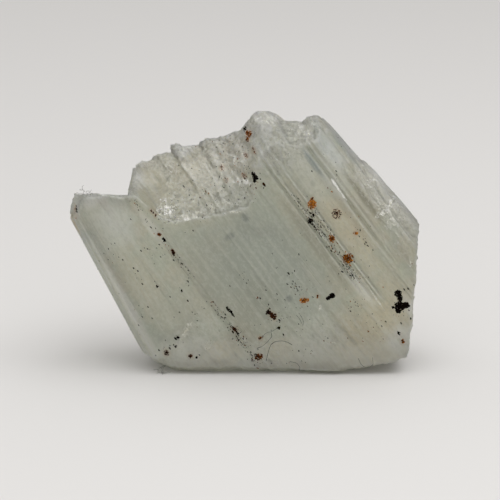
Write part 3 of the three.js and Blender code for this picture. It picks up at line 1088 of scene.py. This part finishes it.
        long = sheet.vector("MULTIPLY", at, self.break_stretch)
        large, small = self.facets_per_mm
        facets = sheet.math("ADD", sheet.facets(long, large)[0], sheet.facets(at, small)[0])
        splinter = sheet.ripple(long, *self.break_texture)
        rough = sheet.math("MULTIPLY_ADD", splinter, self.splinters, facets)
        rough = sheet.times(rough, broken, given["Break Slope"], MM)

        height = sheet.upward(sheet.read("GeometryNodeInputPosition"))
        off_floor = sheet.span(height, *(rise * MM for rise in self.floor_rise_mm))
        move = sheet.times(sheet.math("ADD", lines, rough), off_floor)
        push = sheet.scale(sheet.read("GeometryNodeInputNormal"), move)
        moved = {"Geometry": given["Geometry"], "Offset": push}
        return sheet.deliver(sheet.read("GeometryNodeSetPosition", moved), given, out)

    def dress(self) -> None:
        """Gives the crystal its place in the frame."""
        self.piece.data.shade_smooth()
        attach(self.piece, BODY)
        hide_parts(NODE)


# ---------------------------------------------------------------- what sits on it


@dataclass(frozen=True)
class Surface:
    """The crystal's surface, for finding where something lies on it."""

    tree: BVHTree

    def front(self, x_mm: float, z_mm: float) -> tuple[Vector, Vector] | None:
        """The front surface at one place.

        Args:
            x_mm: its x.
            z_mm: its z.

        Returns:
            The point and its normal, or nothing beside the crystal.
        """
        start = Vector((x_mm * MM, -1.0, z_mm * MM))
        point, normal, _, _ = self.tree.ray_cast(start, Vector((0.0, 1.0, 0.0)))
        return None if point is None else (point, normal)


class Deposit(Enum):
    """What lies on the crystal as grains."""

    IRON = "iron_oxide"
    MANGANESE = "manganese_oxide"
    CHIPS = "barite_chips"


@dataclass(frozen=True)
class Crust:
    """A small crust of grains on the front, an oval of half width and half height in mm.

    Turn is its lean in degrees, fill how closely it is covered, grain its grains' radius.
    """

    x: float
    z: float
    wide: float
    tall: float
    turn: float = 0.0
    tone: float = 0.5
    fill: float = 1.0
    grain: float = 0.085


@dataclass(frozen=True)
class Seam:
    """A band of loose specks along the growth lines, on the growth axes in mm.

    Size is the specks' usual radius, rusty the share of them that is iron oxide.
    """

    across: float
    low: float
    high: float
    spread: float
    count: int
    size: float = 0.035
    rusty: float = 0.15


# Each row holds a Crust's values in their order: x, z, wide, tall, turn, tone, fill, grain.
CRUSTS = {
    Deposit.IRON: (
        (0.42, 20.55, 0.26, 0.22, 10, 0.65), (0.32, 20.2, 0.14, 0.26, -10, 0.6),
        (0.85, 19.5, 0.07, 0.35, 35, 0.55, 0.5, 0.05), (0.15, 18.9, 0.28, 0.12, -30, 0.65, 0.3, 0.045),
        (0.05, 17.3, 0.26, 0.14, -20, 0.65, 0.3, 0.045), (-1.85, 17.65, 0.1, 0.32, 25, 0.6, 0.35, 0.045),
        (-1.5, 16.75, 0.1, 0.22, 30, 0.4, 0.3, 0.045), (-14.25, 14.0, 0.16, 0.45, 15, 0.9, 0.12, 0.045),
        (5.7, 15.05, 0.38, 0.36, 10, 0.85), (5.72, 15.5, 0.1, 0.16, 0, 0.55),
        (7.4, 12.1, 0.24, 0.34, 25, 0.7), (8.75, 10.38, 0.5, 0.42, 30, 0.62),
        (7.8, 14.2, 0.42, 0.44, 0, 0.25, 0.28, 0.06), (9.42, 12.5, 0.24, 0.13, -10, 0.8, 0.7, 0.06),
        (5.08, 6.8, 0.4, 0.2, 5, 0.85), (5.1, 6.82, 0.18, 0.09, 0, 0.1), (6.26, 7.14, 0.09, 0.14, 0, 0.4),
        (2.16, 5.72, 0.26, 0.14, -15, 0.15, 1.3, 0.075), (2.46, 5.48, 0.3, 0.24, 0, 0.2, 1.3, 0.075),
        (2.58, 5.22, 0.12, 0.16, 15, 0.15, 1.0, 0.075), (-0.76, 4.22, 0.15, 0.36, 38, 0.15),
        (1.28, 1.68, 0.4, 0.26, 50, 0.35), (1.4, 3.46, 0.2, 0.16, 0, 0.45, 0.5, 0.06),
        (-5.95, 10.95, 0.14, 0.3, 25, 0.25), (-7.1, 12.5, 0.19, 0.1, 0, 0.5),
        (-7.76, 14.55, 0.08, 0.09, 0, 0.4), (-7.56, 14.4, 0.06, 0.07, 0, 0.4),
        (-7.42, 14.18, 0.08, 0.09, 0, 0.3), (-6.6, 2.02, 0.3, 0.26, -30, 0.12, 0.35, 0.06),
        (-4.56, 1.72, 0.19, 0.19, 0, 0.2, 0.8, 0.06), (13.55, 3.0, 0.12, 0.22, 20, 0.6, 0.8),
    ),
    Deposit.MANGANESE: (
        (0.1, 20.8, 0.14, 0.16), (0.8, 17.66, 0.16, 0.22, 0, 0.3, 1.8, 0.07),
        (0.98, 17.38, 0.22, 0.2, 0, 0.3, 1.8, 0.07), (0.9, 17.12, 0.13, 0.16, 0, 0.3, 1.8, 0.07),
        (5.58, 13.62, 0.22, 0.26), (7.46, 7.2, 0.24, 0.22, 0, 0.3, 1.8, 0.07),
        (7.14, 7.0, 0.22, 0.15, 30, 0.3, 1.8, 0.07), (2.02, 5.78, 0.22, 0.14, 60),
        (-14.05, 14.4, 0.1, 0.14, 30, 0.2), (-0.52, 3.86, 0.1, 0.14, 30), (-6.68, 12.05, 0.12, 0.26, 30),
        (-5.78, 2.62, 0.1, 0.1), (-5.6, 3.42, 0.11, 0.11), (-4.05, 1.62, 0.1, 0.05),
        (-1.34, 6.02, 0.09, 0.36, 30, 0.0, 0.9, 0.06), (-1.0, 5.66, 0.09, 0.4, 30, 0.0, 0.9, 0.06),
        (2.98, 4.36, 0.14, 0.13), (-7.34, 7.94, 0.09, 0.12), (13.05, 7.3, 0.3, 0.3, 0, 0.3, 1.5, 0.07),
        (13.22, 6.9, 0.2, 0.3, 0, 0.3, 1.5, 0.07), (13.2, 6.2, 0.46, 0.4, 0, 0.3, 1.5, 0.07),
        (13.75, 6.28, 0.32, 0.26, 0, 0.3, 1.5, 0.07), (13.08, 5.82, 0.26, 0.22, 0, 0.3, 1.5, 0.07),
        (12.62, 6.12, 0.1, 0.09), (13.2, 3.75, 0.1, 0.16, 30),
    ),
    Deposit.CHIPS: (
        (-6.5, 14.6, 0.9, 0.75, 10, 1.1, 0.1, 0.065), (11.4, 16.6, 0.3, 2.1, 36, 0.8, 0.08, 0.05),
        (-6.25, 14.3, 0.5, 0.4, 0, 1.3, 0.22, 0.075), (-4.75, 13.85, 0.35, 0.12, 8, 1.1, 0.5, 0.055),
        (-4.9, 13.95, 0.8, 0.26, 8, 0.7, 0.3, 0.045), (-3.95, 14.2, 0.6, 0.26, 5, 0.6, 0.25, 0.045),
        (-2.8, 14.5, 0.8, 0.3, 15, 0.5, 0.16, 0.045), (-2.2, 15.05, 1.2, 0.25, 10, 0.5, 0.12, 0.045),
        (-1.5, 14.95, 0.8, 0.35, 20, 0.5, 0.12, 0.045), (-0.1, 16.8, 0.85, 0.3, 5, 1.0, 0.35, 0.05),
        (-3.5, 16.6, 3.2, 1.4, 25, 0.6, 0.012, 0.04), (-0.8, 14.45, 0.7, 0.1, 0, 0.4, 0.3, 0.045),
        (-6.54, 17.45, 0.05, 0.62, 46, 0.8, 0.6, 0.04), (-6.15, 17.5, 0.04, 0.6, 46, 0.7, 0.6, 0.04),
        (-3.0, 18.6, 0.12, 0.95, 30, 0.5, 0.25, 0.04), (7.97, 16.18, 0.07, 1.18, 36, 1.0, 1.2, 0.045),
        (7.6, 16.75, 0.12, 0.5, 36, 1.0, 0.9, 0.045), (10.88, 7.35, 0.05, 1.9, 35, 0.7, 0.35, 0.04),
        (11.65, 13.98, 0.66, 0.2, 22, 0.9, 0.22, 0.055), (12.5, 14.6, 0.2, 0.62, -36, 0.9, 0.2, 0.055),
        (12.1, 14.2, 0.9, 0.55, 35, 0.7, 0.07, 0.045), (12.4, 13.2, 0.45, 0.3, 20, 0.8, 0.12, 0.045),
        (13.2, 14.0, 0.9, 1.6, 20, 0.6, 0.05, 0.045), (11.1, 16.6, 0.16, 0.12, 0, 0.9, 0.5, 0.045),
        (8.4, 20.3, 0.25, 0.18, 0, 0.9, 0.35, 0.045), (6.4, 6.1, 0.12, 0.3, -20, 0.5, 0.4, 0.045),
        (7.5, 2.9, 0.26, 0.09, 10, 0.6, 0.4, 0.045), (14.1, 9.9, 0.14, 0.5, 0, 0.8, 0.1, 0.045),
        (12.9, 12.2, 1.1, 2.2, 20, 0.7, 0.02, 0.045), (11.6, 14.6, 0.65, 0.9, 35, 0.7, 0.09, 0.06),
        (1.9, 21.7, 1.1, 0.45, 0, 0.9, 0.14, 0.06), (-0.1, 18.9, 0.6, 0.8, 10, 0.8, 0.12, 0.05),
        (-0.6, 17.9, 0.9, 0.8, 10, 0.8, 0.08, 0.05), (-4.95, 3.95, 0.26, 1.1, -28, 0.5, 0.2, 0.045),
        (-3.0, 2.9, 0.26, 0.8, -20, 0.5, 0.14, 0.045), (12.9, 13.3, 0.8, 1.5, 25, 0.7, 0.05, 0.055),
        (10.4, 17.1, 0.5, 1.6, 38, 0.8, 0.06, 0.07), (4.6, 20.6, 1.6, 0.9, 10, 0.7, 0.04, 0.07),
        (3.6, 19.2, 1.8, 0.8, 10, 0.7, 0.03, 0.06), (10.6, 16.4, 0.7, 1.8, 38, 0.7, 0.04, 0.045),
    ),
}

# Each row holds a Seam's values in their order: across, low, high, spread, count, size, rusty.
SEAMS = (
    (1.35, 10.5, 18.5, 0.16, 60, 0.035, 0.35), (1.35, 2.0, 10.5, 0.18, 70),
    (1.3, -0.5, 4.5, 0.3, 70, 0.034, 0.25), (12.35, 1.5, 10.5, 0.18, 240, 0.032, 0.15),
    (12.9, 1.5, 9.0, 0.22, 130, 0.03, 0.2), (14.9, 2.0, 6.5, 0.1, 22, 0.036, 0.3),
    (8.0, 3.0, 8.0, 0.25, 34, 0.036), (5.0, 1.5, 9.0, 0.25, 30, 0.036),
    (10.2, 12.5, 17.5, 0.8, 150, 0.025, 0.45), (11.0, -4.0, 2.0, 0.6, 40, 0.036, 0.45),
    (6.0, -2.0, 4.0, 1.6, 60, 0.034, 0.25), (-3.2, 4.0, 18.5, 0.9, 45, 0.038, 0.1),
    (0.0, 4.0, 17.0, 0.8, 40, 0.036, 0.15), (7.0, 0.0, 15.0, 3.0, 70, 0.034, 0.1),
    (15.0, -4.0, 12.0, 1.6, 70, 0.032, 0.2), (6.0, 13.0, 19.0, 2.5, 80, 0.03, 0.2),
)


@dataclass
class Grains:
    """All the grains of one deposit: its crusts and its specks along the growth lines."""

    deposit: Deposit
    finish: GrainFinish
    seed: int
    rim_count: int = 0
    back_picks: int = 240
    packing: float = 4.5
    crowding: float = 0.6
    crust_sizes: tuple = (0.6, 1.25)
    heart_size: float = 1.15
    rim_loss: float = 0.4
    tone_spread: float = 0.18
    heart_shade: float = 0.35
    specks_per_run: int = 7
    run_mm: float = 0.45
    run_over_mm: float = 0.5
    front_facing: float = -0.3
    floor_mm: float = 0.6
    rim_start: float = 0.25
    crust_stretch: float = 1.1
    seam_stretch: float = 2.0
    speck_sizes: tuple = (-0.15, 0.45)
    speck_tones: tuple = (0.0, 0.9)
    rows: list[tuple] = field(default_factory=list)
    dice: np.random.Generator = field(init=False)
    piece: Object | None = None

    def __post_init__(self) -> None:
        """Starts the grains' own random numbers."""
        self.dice = np.random.default_rng(self.seed)

    def build(self, surface: Surface, skin: Mesh) -> None:
        """Places every grain and turns them into one mesh.

        Args:
            surface: the crystal's surface.
            skin: the crystal's mesh.
        """
        for row in CRUSTS[self.deposit]:
            self.crust(surface, Crust(*row))
        for row in SEAMS:
            self.seam(surface, Seam(*row))
        self.elsewhere(skin)
        self.rims(skin)
        points, *columns = zip(*self.rows)
        mesh = bpy.data.meshes.new(self.deposit.value)
        mesh.from_pydata(points, [], [])
        for name, column in zip(("out", "size", "stretch", "tone"), columns):
            mark(mesh, name, np.array(column))
        self.piece = show(self.deposit.value, mesh)
        run_tree(self.piece, self.grain_tree(), Seed=self.seed, Material=self.finish.material())

    def crust(self, surface: Surface, crust: Crust) -> None:
        """Fills one crust with grains.

        Args:
            surface: the crystal's surface.
            crust: the crust.
        """
        area = crust.wide * crust.tall / crust.grain**2
        count = max(3, round(area * crust.fill * self.packing))
        lean = math.radians(crust.turn)
        for _ in range(count):
            reach = self.dice.random() ** self.crowding
            turn = self.dice.random() * 2 * math.pi
            u = crust.wide * reach * math.cos(turn)
            v = crust.tall * reach * math.sin(turn)
            x = crust.x + u * math.cos(lean) - v * math.sin(lean)
            z = crust.z + u * math.sin(lean) + v * math.cos(lean)
            size = crust.grain * self.dice.uniform(*self.crust_sizes)
            size = size * (self.heart_size - self.rim_loss * reach)
            tone = crust.tone + self.dice.normal(0.0, self.tone_spread)
            tone = tone - self.heart_shade * (1.0 - reach)
            self.add(surface.front(x, z), size, self.crust_stretch, tone)

    def seam(self, surface: Surface, seam: Seam) -> None:
        """Strews the oxide's share of one seam's specks, in short runs.

        Args:
            surface: the crystal's surface.
            seam: the seam.
        """
        rusty = {Deposit.IRON: seam.rusty, Deposit.MANGANESE: 1.0 - seam.rusty}
        runs = self.dice.uniform(seam.low, seam.high, max(3, seam.count // self.specks_per_run))
        for _ in range(round(seam.count * rusty.get(self.deposit, 0.0))):
            along = self.dice.choice(runs) + self.dice.normal(0.0, self.run_mm)
            across = seam.across + self.dice.normal(0.0, seam.spread)
            if not seam.low - self.run_over_mm < along < seam.high + self.run_over_mm:
                continue
            size = seam.size * self.dice.lognormal(*self.speck_sizes)
            tone = self.dice.uniform(*self.speck_tones)
            found = surface.front(*GROWTH.front(across, along))
            self.add(found, size, self.seam_stretch, tone)

    def elsewhere(self, skin: Mesh) -> None:
        """Strews specks and a few larger grains over the sides and the back.

        Args:
            skin: the crystal's mesh.
        """
        for index in self.dice.choice(len(skin.vertices), self.back_picks, replace=False):
            vertex = skin.vertices[int(index)]
            if vertex.normal.y >= self.front_facing and vertex.co.z >= self.floor_mm * MM:
                self.strew(vertex, radius=0.035, stretch=1.4, tones=self.speck_tones)

    def rims(self, skin: Mesh) -> None:
        """Sets small grains along the sharp edges of the breaks.

        Args:
            skin: the crystal's mesh.
        """
        sharp = np.clip(numbers(skin, "edge") - self.rim_start, 0.0, 1.0)
        height = fetch(skin.vertices, "co", 3)[:, 2]
        chance = sharp * (numbers(skin, "broken") > 0.5) * (height > MM)
        for index in self.dice.choice(len(chance), self.rim_count, p=chance / chance.sum()):
            vertex = skin.vertices[int(index)]
            self.strew(vertex, radius=0.030, stretch=1.2, tones=(0.1, 0.8))

    def strew(self, vertex: object, radius: float, stretch: float, tones: tuple) -> None:
        """Sets one grain of uneven size on a point of the skin.

        Args:
            vertex: the skin's point.
            radius: the grain's usual radius in mm.
            stretch: how much longer it is along the growth lines.
            tones: its darkest and lightest tone.
        """
        size = radius * self.dice.lognormal(0.0, 0.35)
        tone = self.dice.uniform(*tones)
        self.add((vertex.co.copy(), vertex.normal.copy()), size, stretch, tone)

    def add(self, found: tuple | None, size: float, stretch: float, tone: float) -> None:
        """Adds one grain.

        Args:
            found: its point and the surface's normal there, or nothing.
            size: its radius in mm.
            stretch: how much longer it is along the growth lines.
            tone: from 0, dark, to 1, light.
        """
        if found is None or found[0].z < size * MM:
            return
        point, normal = found
        self.rows.append((tuple(point), tuple(normal), size * MM, stretch, tone))

    @staticmethod
    @cache
    def grain_tree() -> NodeTree:
        """The tree that sets an angular grain on every point, made once.

        Returns:
            The tree.
        """
        inputs = {"Geometry": "Geometry", "Seed": 0, "Flatness": 0.55, "Ragged": 1.3}
        inputs |= {"Material": "Material"}
        name = "angular grains"
        sheet, given, out = new_group("GeometryNodeTree", name, inputs, {"Geometry": "Geometry"})
        width, tilt, spin, bumps_per_mm = 0.9, 0.2, 0.4, 9.0
        upright = sheet.read(
            "FunctionNodeAlignRotationToVector",
            {"Vector": sheet.stored("out", "FLOAT_VECTOR")},
            axis="Z",
        )
        lined = sheet.read(
            "FunctionNodeAlignRotationToVector",
            {"Rotation": upright, "Vector": tuple(GROWTH.along())},
            axis="X",
            pivot_axis="Z",
        )
        twist = sheet.read(
            "FunctionNodeRandomValue",
            {"Min": (-tilt, -tilt, -spin), "Max": (tilt, tilt, spin), "Seed": given["Seed"]},
            data_type="FLOAT_VECTOR",
        )
        turned = sheet.read(
            "FunctionNodeRotateRotation",
            {"Rotation": lined, "Rotate By": twist},
            rotation_space="LOCAL",
        )
        shape = sheet.read(
            "ShaderNodeCombineXYZ",
            {"X": sheet.stored("stretch"), "Y": width, "Z": given["Flatness"]},
        )
        grain = sheet.read("GeometryNodeMeshIcoSphere", {"Radius": 1.0, "Subdivisions": 1})
        grains = {
            "Points": given["Geometry"],
            "Instance": grain,
            "Rotation": turned,
            "Scale": sheet.scale(shape, sheet.stored("size")),
        }
        instances = sheet.read("GeometryNodeInstanceOnPoints", grains)
        real = sheet.read("GeometryNodeRealizeInstances", {0: instances})

        here = sheet.read("GeometryNodeInputPosition")
        bumps = {"Vector": here, "Scale": bumps_per_mm / MM, "Detail": 1.0}
        wild = sheet.add("ShaderNodeTexNoise", bumps).outputs["Color"]
        push = sheet.vector("SUBTRACT", wild, (0.5, 0.5, 0.5))
        push = sheet.scale(push, sheet.times(sheet.stored("size"), given["Ragged"]))
        moved = sheet.read("GeometryNodeSetPosition", {"Geometry": real, "Offset": push})
        return sheet.deliver(moved, given, out)

    def dress(self) -> None:
        """Gives the grains their place in the frame."""
        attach(self.piece, BODY)


@dataclass(frozen=True)
class Strand:
    """One fibre: its path as x, z and the lift off the front, in mm, and its radius."""

    path: tuple
    radius: float = 0.022


STRANDS = (
    Strand(((1.9, 1.35, 0.03), (2.05, 2.15, 0.12), (2.25, 2.9, 0.2), (2.6, 3.2, 0.2),
            (3.2, 3.25, 0.12), (3.7, 3.1, 0.1), (4.1, 2.8, 0.03))),
    Strand(((1.1, 2.55, 0.03), (1.6, 2.75, 0.1), (2.05, 3.2, 0.1), (2.4, 3.65, 0.08),
            (2.3, 4.0, 0.02))),
    Strand(((1.5, 3.6, 0.03), (1.9, 4.0, 0.14), (2.4, 4.1, 0.1), (2.9, 4.4, 0.03)), 0.016),
    Strand(((3.9, 1.25, 0.03), (4.5, 1.15, 0.1), (4.8, 0.75, 0.15), (4.7, 0.35, 0.05)), 0.016),
    Strand(((9.75, 1.55, 0.03), (10.0, 0.95, 0.1), (10.55, 0.6, 0.15), (11.05, 0.95, 0.1),
            (10.95, 1.6, 0.03)), 0.016),
    Strand(((4.65, 5.7, 0.02), (4.9, 5.3, 0.04), (5.05, 4.95, 0.04), (5.0, 4.55, 0.02)), 0.02),
    Strand(((4.45, 5.5, 0.02), (4.75, 5.1, 0.04), (4.9, 4.75, 0.02)), 0.018),
)


@dataclass(frozen=True)
class Tuft:
    """A knot of fine curls: where it stands, how far it spreads, its curls and their radius."""

    middle: tuple
    spread: tuple
    count: int
    radius: float


TUFTS = (
    Tuft((-13.2, -2.2, 15.55), (0.9, 0.6, 0.9), 9, 0.014),
    Tuft((-7.3, -3.9, 0.25), (0.8, 0.9, 0.7), 10, 0.013),
)


@dataclass
class Lint:
    """The textile fibres caught on the crystal."""

    finish: FibreFinish
    step_mm: float = 0.06
    path_step_mm: float = 0.6
    curl_step_mm: float = 0.16
    curling: float = 0.8
    curl_steps: tuple = (6, 10)
    sides: int = 6
    seed: int = 3
    points: list[tuple] = field(default_factory=list)
    edges: list[tuple] = field(default_factory=list)
    radii: list[float] = field(default_factory=list)
    piece: Object | None = None

    def build(self, surface: Surface) -> None:
        """Lays the strands and makes them round.

        Args:
            surface: the crystal's surface.
        """
        for strand in STRANDS:
            self.lay(surface, strand)
        dice = np.random.default_rng(self.seed)
        for tuft in TUFTS:
            for _ in range(tuft.count):
                self.curl(tuft, dice)
        mesh = bpy.data.meshes.new("lint_fibres")
        mesh.from_pydata(self.points, self.edges, [])
        mark(mesh, "radius_here", np.array(self.radii))
        self.piece = show("lint_fibres", mesh)
        run_tree(
            self.piece,
            self.fibre_tree(),
            Step=self.step_mm * MM,
            Sides=self.sides,
            Material=self.finish.material(),
        )

    def add(self, path_mm: list[tuple], radius_mm: float) -> None:
        """Adds one fibre.

        Args:
            path_mm: its points.
            radius_mm: its radius.
        """
        first = len(self.points)
        self.points.extend(tuple(value * MM for value in point) for point in path_mm)
        self.radii.extend([radius_mm * MM] * len(path_mm))
        self.edges.extend((n, n + 1) for n in range(first, len(self.points) - 1))

    def lay(self, surface: Surface, strand: Strand) -> None:
        """Adds one strand that lies on the front.

        Args:
            surface: the crystal's surface.
            strand: the strand.
        """
        path = np.array(strand.path)
        knots = np.arange(len(path))
        steps = max(12, round(len(path) * self.path_step_mm / self.step_mm))
        share = np.linspace(0.0, len(path) - 1.0, steps)
        line = np.stack([np.interp(share, knots, column) for column in path.T], 1)
        for _ in range(steps // 3):
            line[1:-1] = (line[:-2] + 2.0 * line[1:-1] + line[2:]) / 4.0
        found = [surface.front(x, z) for x, z, _ in line]
        depths = np.array([0.0 if hit is None else hit[0].y / MM for hit in found])
        nearest = [depths[max(0, n - 3) : n + 4].min() for n in range(steps)]
        rows = zip(line, nearest)
        self.add([(x, y - lift - strand.radius, z) for (x, z, lift), y in rows], strand.radius)

    def curl(self, tuft: Tuft, dice: np.random.Generator) -> None:
        """Adds one fine curl of a tuft.

        Args:
            tuft: the tuft.
            dice: the tufts' random numbers.
        """
        here = np.array(tuft.middle) + dice.uniform(-0.3, 0.3, 3) * (1.4, 1.0, 0.3)
        heading = dice.normal(0.0, 1.0, 3)
        path = []
        for _ in range(int(dice.integers(*self.curl_steps))):
            x, y, z = here
            path.append((x, y, max(z, tuft.radius * 2)))
            heading = heading + dice.normal(0.0, self.curling, 3)
            heading = heading / np.linalg.norm(heading)
            here = here + heading * self.curl_step_mm * np.array(tuft.spread)
        self.add(path, tuft.radius)

    def fibre_tree(self) -> NodeTree:
        """The tree that turns paths into smooth round fibres.

        Returns:
            The tree.
        """
        inputs = {"Geometry": "Geometry", "Step": 0.0001, "Sides": 6, "Material": "Material"}
        name = "round fibres"
        sheet, given, out = new_group("GeometryNodeTree", name, inputs, {"Geometry": "Geometry"})
        path = sheet.read("GeometryNodeMeshToCurve", {0: given["Geometry"]})
        radius = {"Curve": path, "Radius": sheet.stored("radius_here")}
        thick = sheet.read("GeometryNodeSetCurveRadius", radius)
        bent = sheet.read(
            "GeometryNodeCurveSplineType", {"Curve": thick}, spline_type="CATMULL_ROM"
        )
        even = sheet.read(
            "GeometryNodeResampleCurve", {"Curve": bent, "Length": given["Step"]}, mode="LENGTH"
        )
        ring = {"Resolution": given["Sides"], "Radius": 1.0}
        tube = {
            "Curve": even,
            "Profile Curve": sheet.read("GeometryNodeCurvePrimitiveCircle", ring),
            "Scale": sheet.read("GeometryNodeInputRadius"),
            "Fill Caps": True,
        }
        return sheet.deliver(sheet.read("GeometryNodeCurveToMesh", tube), given, out)

    def dress(self) -> None:
        """Gives the fibres their place in the frame."""
        self.piece.data.shade_smooth()
        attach(self.piece, BODY)


# ---------------------------------------------------------------- the studio


@dataclass
class Studio:
    """The floor, the lights and the camera. Lengths are in metres."""

    distance: float = 200.0 * MM
    elevation: float = math.radians(14.0)
    aim: tuple = (0.52 * MM, 0.0, 9.95 * MM)
    lens: float = 167.0
    clipping: tuple = (0.01, 10.0)
    horizon: tuple = (0.48, 0.475, 0.47)
    zenith: tuple = (0.91, 0.90, 0.885)
    floor_size: float = 3.0
    lamps: tuple = (
        ("top", (0.07, -0.06, 0.27), 0.28, 0.33),
        ("front", (0.0, -0.22, 0.20), 0.25, 0.12),
    )

    def build(self) -> None:
        """Sets the whole studio up."""
        self.floor()
        self.room()
        for name, at, size, watts in self.lamps:
            self.lamp(name, Vector(at), size, watts)
        self.camera()

    def floor(self) -> None:
        """Lays the pale floor."""
        half = self.floor_size / 2
        mesh = bpy.data.meshes.new("floor")
        corners = [(-half, -half, 0.0), (half, -half, 0.0), (half, half, 0.0), (-half, half, 0.0)]
        mesh.from_pydata(corners, [], [(0, 1, 2, 3)])
        mesh.materials.append(PaperFinish().material())
        show("floor", mesh)

    def room(self) -> None:
        """Fills an even pale room with soft light."""
        world = bpy.data.worlds.new("room")
        world.use_nodes = True
        bpy.context.scene.world = world
        sheet = Sheet(world.node_tree)
        up = sheet.upward(sheet.add("ShaderNodeTexCoord").outputs["Generated"])
        sky = sheet.mix(sheet.span(up, 0.0, 1.0), self.horizon, self.zenith)
        light = sheet.read("ShaderNodeBackground", {"Color": sky})
        sheet.add("ShaderNodeOutputWorld", {"Surface": light})

    def lamp(self, name: str, at: Vector, size: float, watts: float) -> None:
        """Hangs a broad, soft, square light turned to the crystal.

        Args:
            name: the light's name.
            at: where it hangs.
            size: its side.
            watts: its power.
        """
        data = bpy.data.lights.new(name, "AREA")
        data.size = size
        data.energy = watts
        self.turn(show(name, data), at, Vector(self.aim) - at)

    def camera(self) -> None:
        """Places the camera a little over the crystal, square to its front."""
        data = bpy.data.cameras.new("camera")
        data.lens = self.lens
        data.clip_start, data.clip_end = self.clipping
        camera = show("camera", data)
        away = Vector((0.0, -math.cos(self.elevation), math.sin(self.elevation)))
        self.turn(camera, Vector(self.aim) + away * self.distance, -away)
        bpy.context.scene.camera = camera
        bpy.context.scene.view_settings.view_transform = "Standard"

    def turn(self, thing: Object, at: Vector, toward: Vector) -> None:
        """Puts a light or the camera in its place, facing one way."""
        thing.location = at
        thing.rotation_euler = toward.to_track_quat("-Z", "Y").to_euler()


def main() -> None:
    """Builds and dresses every piece in order."""
    logging.basicConfig(level=logging.INFO, format="%(name)s: %(message)s")
    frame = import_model()
    Studio().build()
    halo_mm = 0.2
    rusty = [Crust(*row) for row in CRUSTS[Deposit.IRON]]
    stains = [(crust.x, crust.z, (crust.wide + crust.tall) / 2 + halo_mm) for crust in rusty]
    body = CrystalBody(BariteFinish(), stains)
    body.build(frame["nodes"][NODE])
    body.dress()
    log.info("crystal: %d faces", len(body.piece.data.polygons))
    surface = Surface(search(body.piece.data))
    deposits = (
        Grains(Deposit.IRON, RUST, seed=7),
        Grains(Deposit.MANGANESE, BLACK, seed=11),
        Grains(Deposit.CHIPS, WHITE, seed=5, rim_count=600),
    )
    for grains in deposits:
        grains.build(surface, body.piece.data)
        grains.dress()
        log.info("%s: %d faces", grains.deposit.value, len(grains.piece.data.polygons))
    lint = Lint(FibreFinish())
    lint.build(surface)
    lint.dress()
    log.info("lint: %d faces", len(lint.piece.data.polygons))


if __name__ == "__main__":
    main()
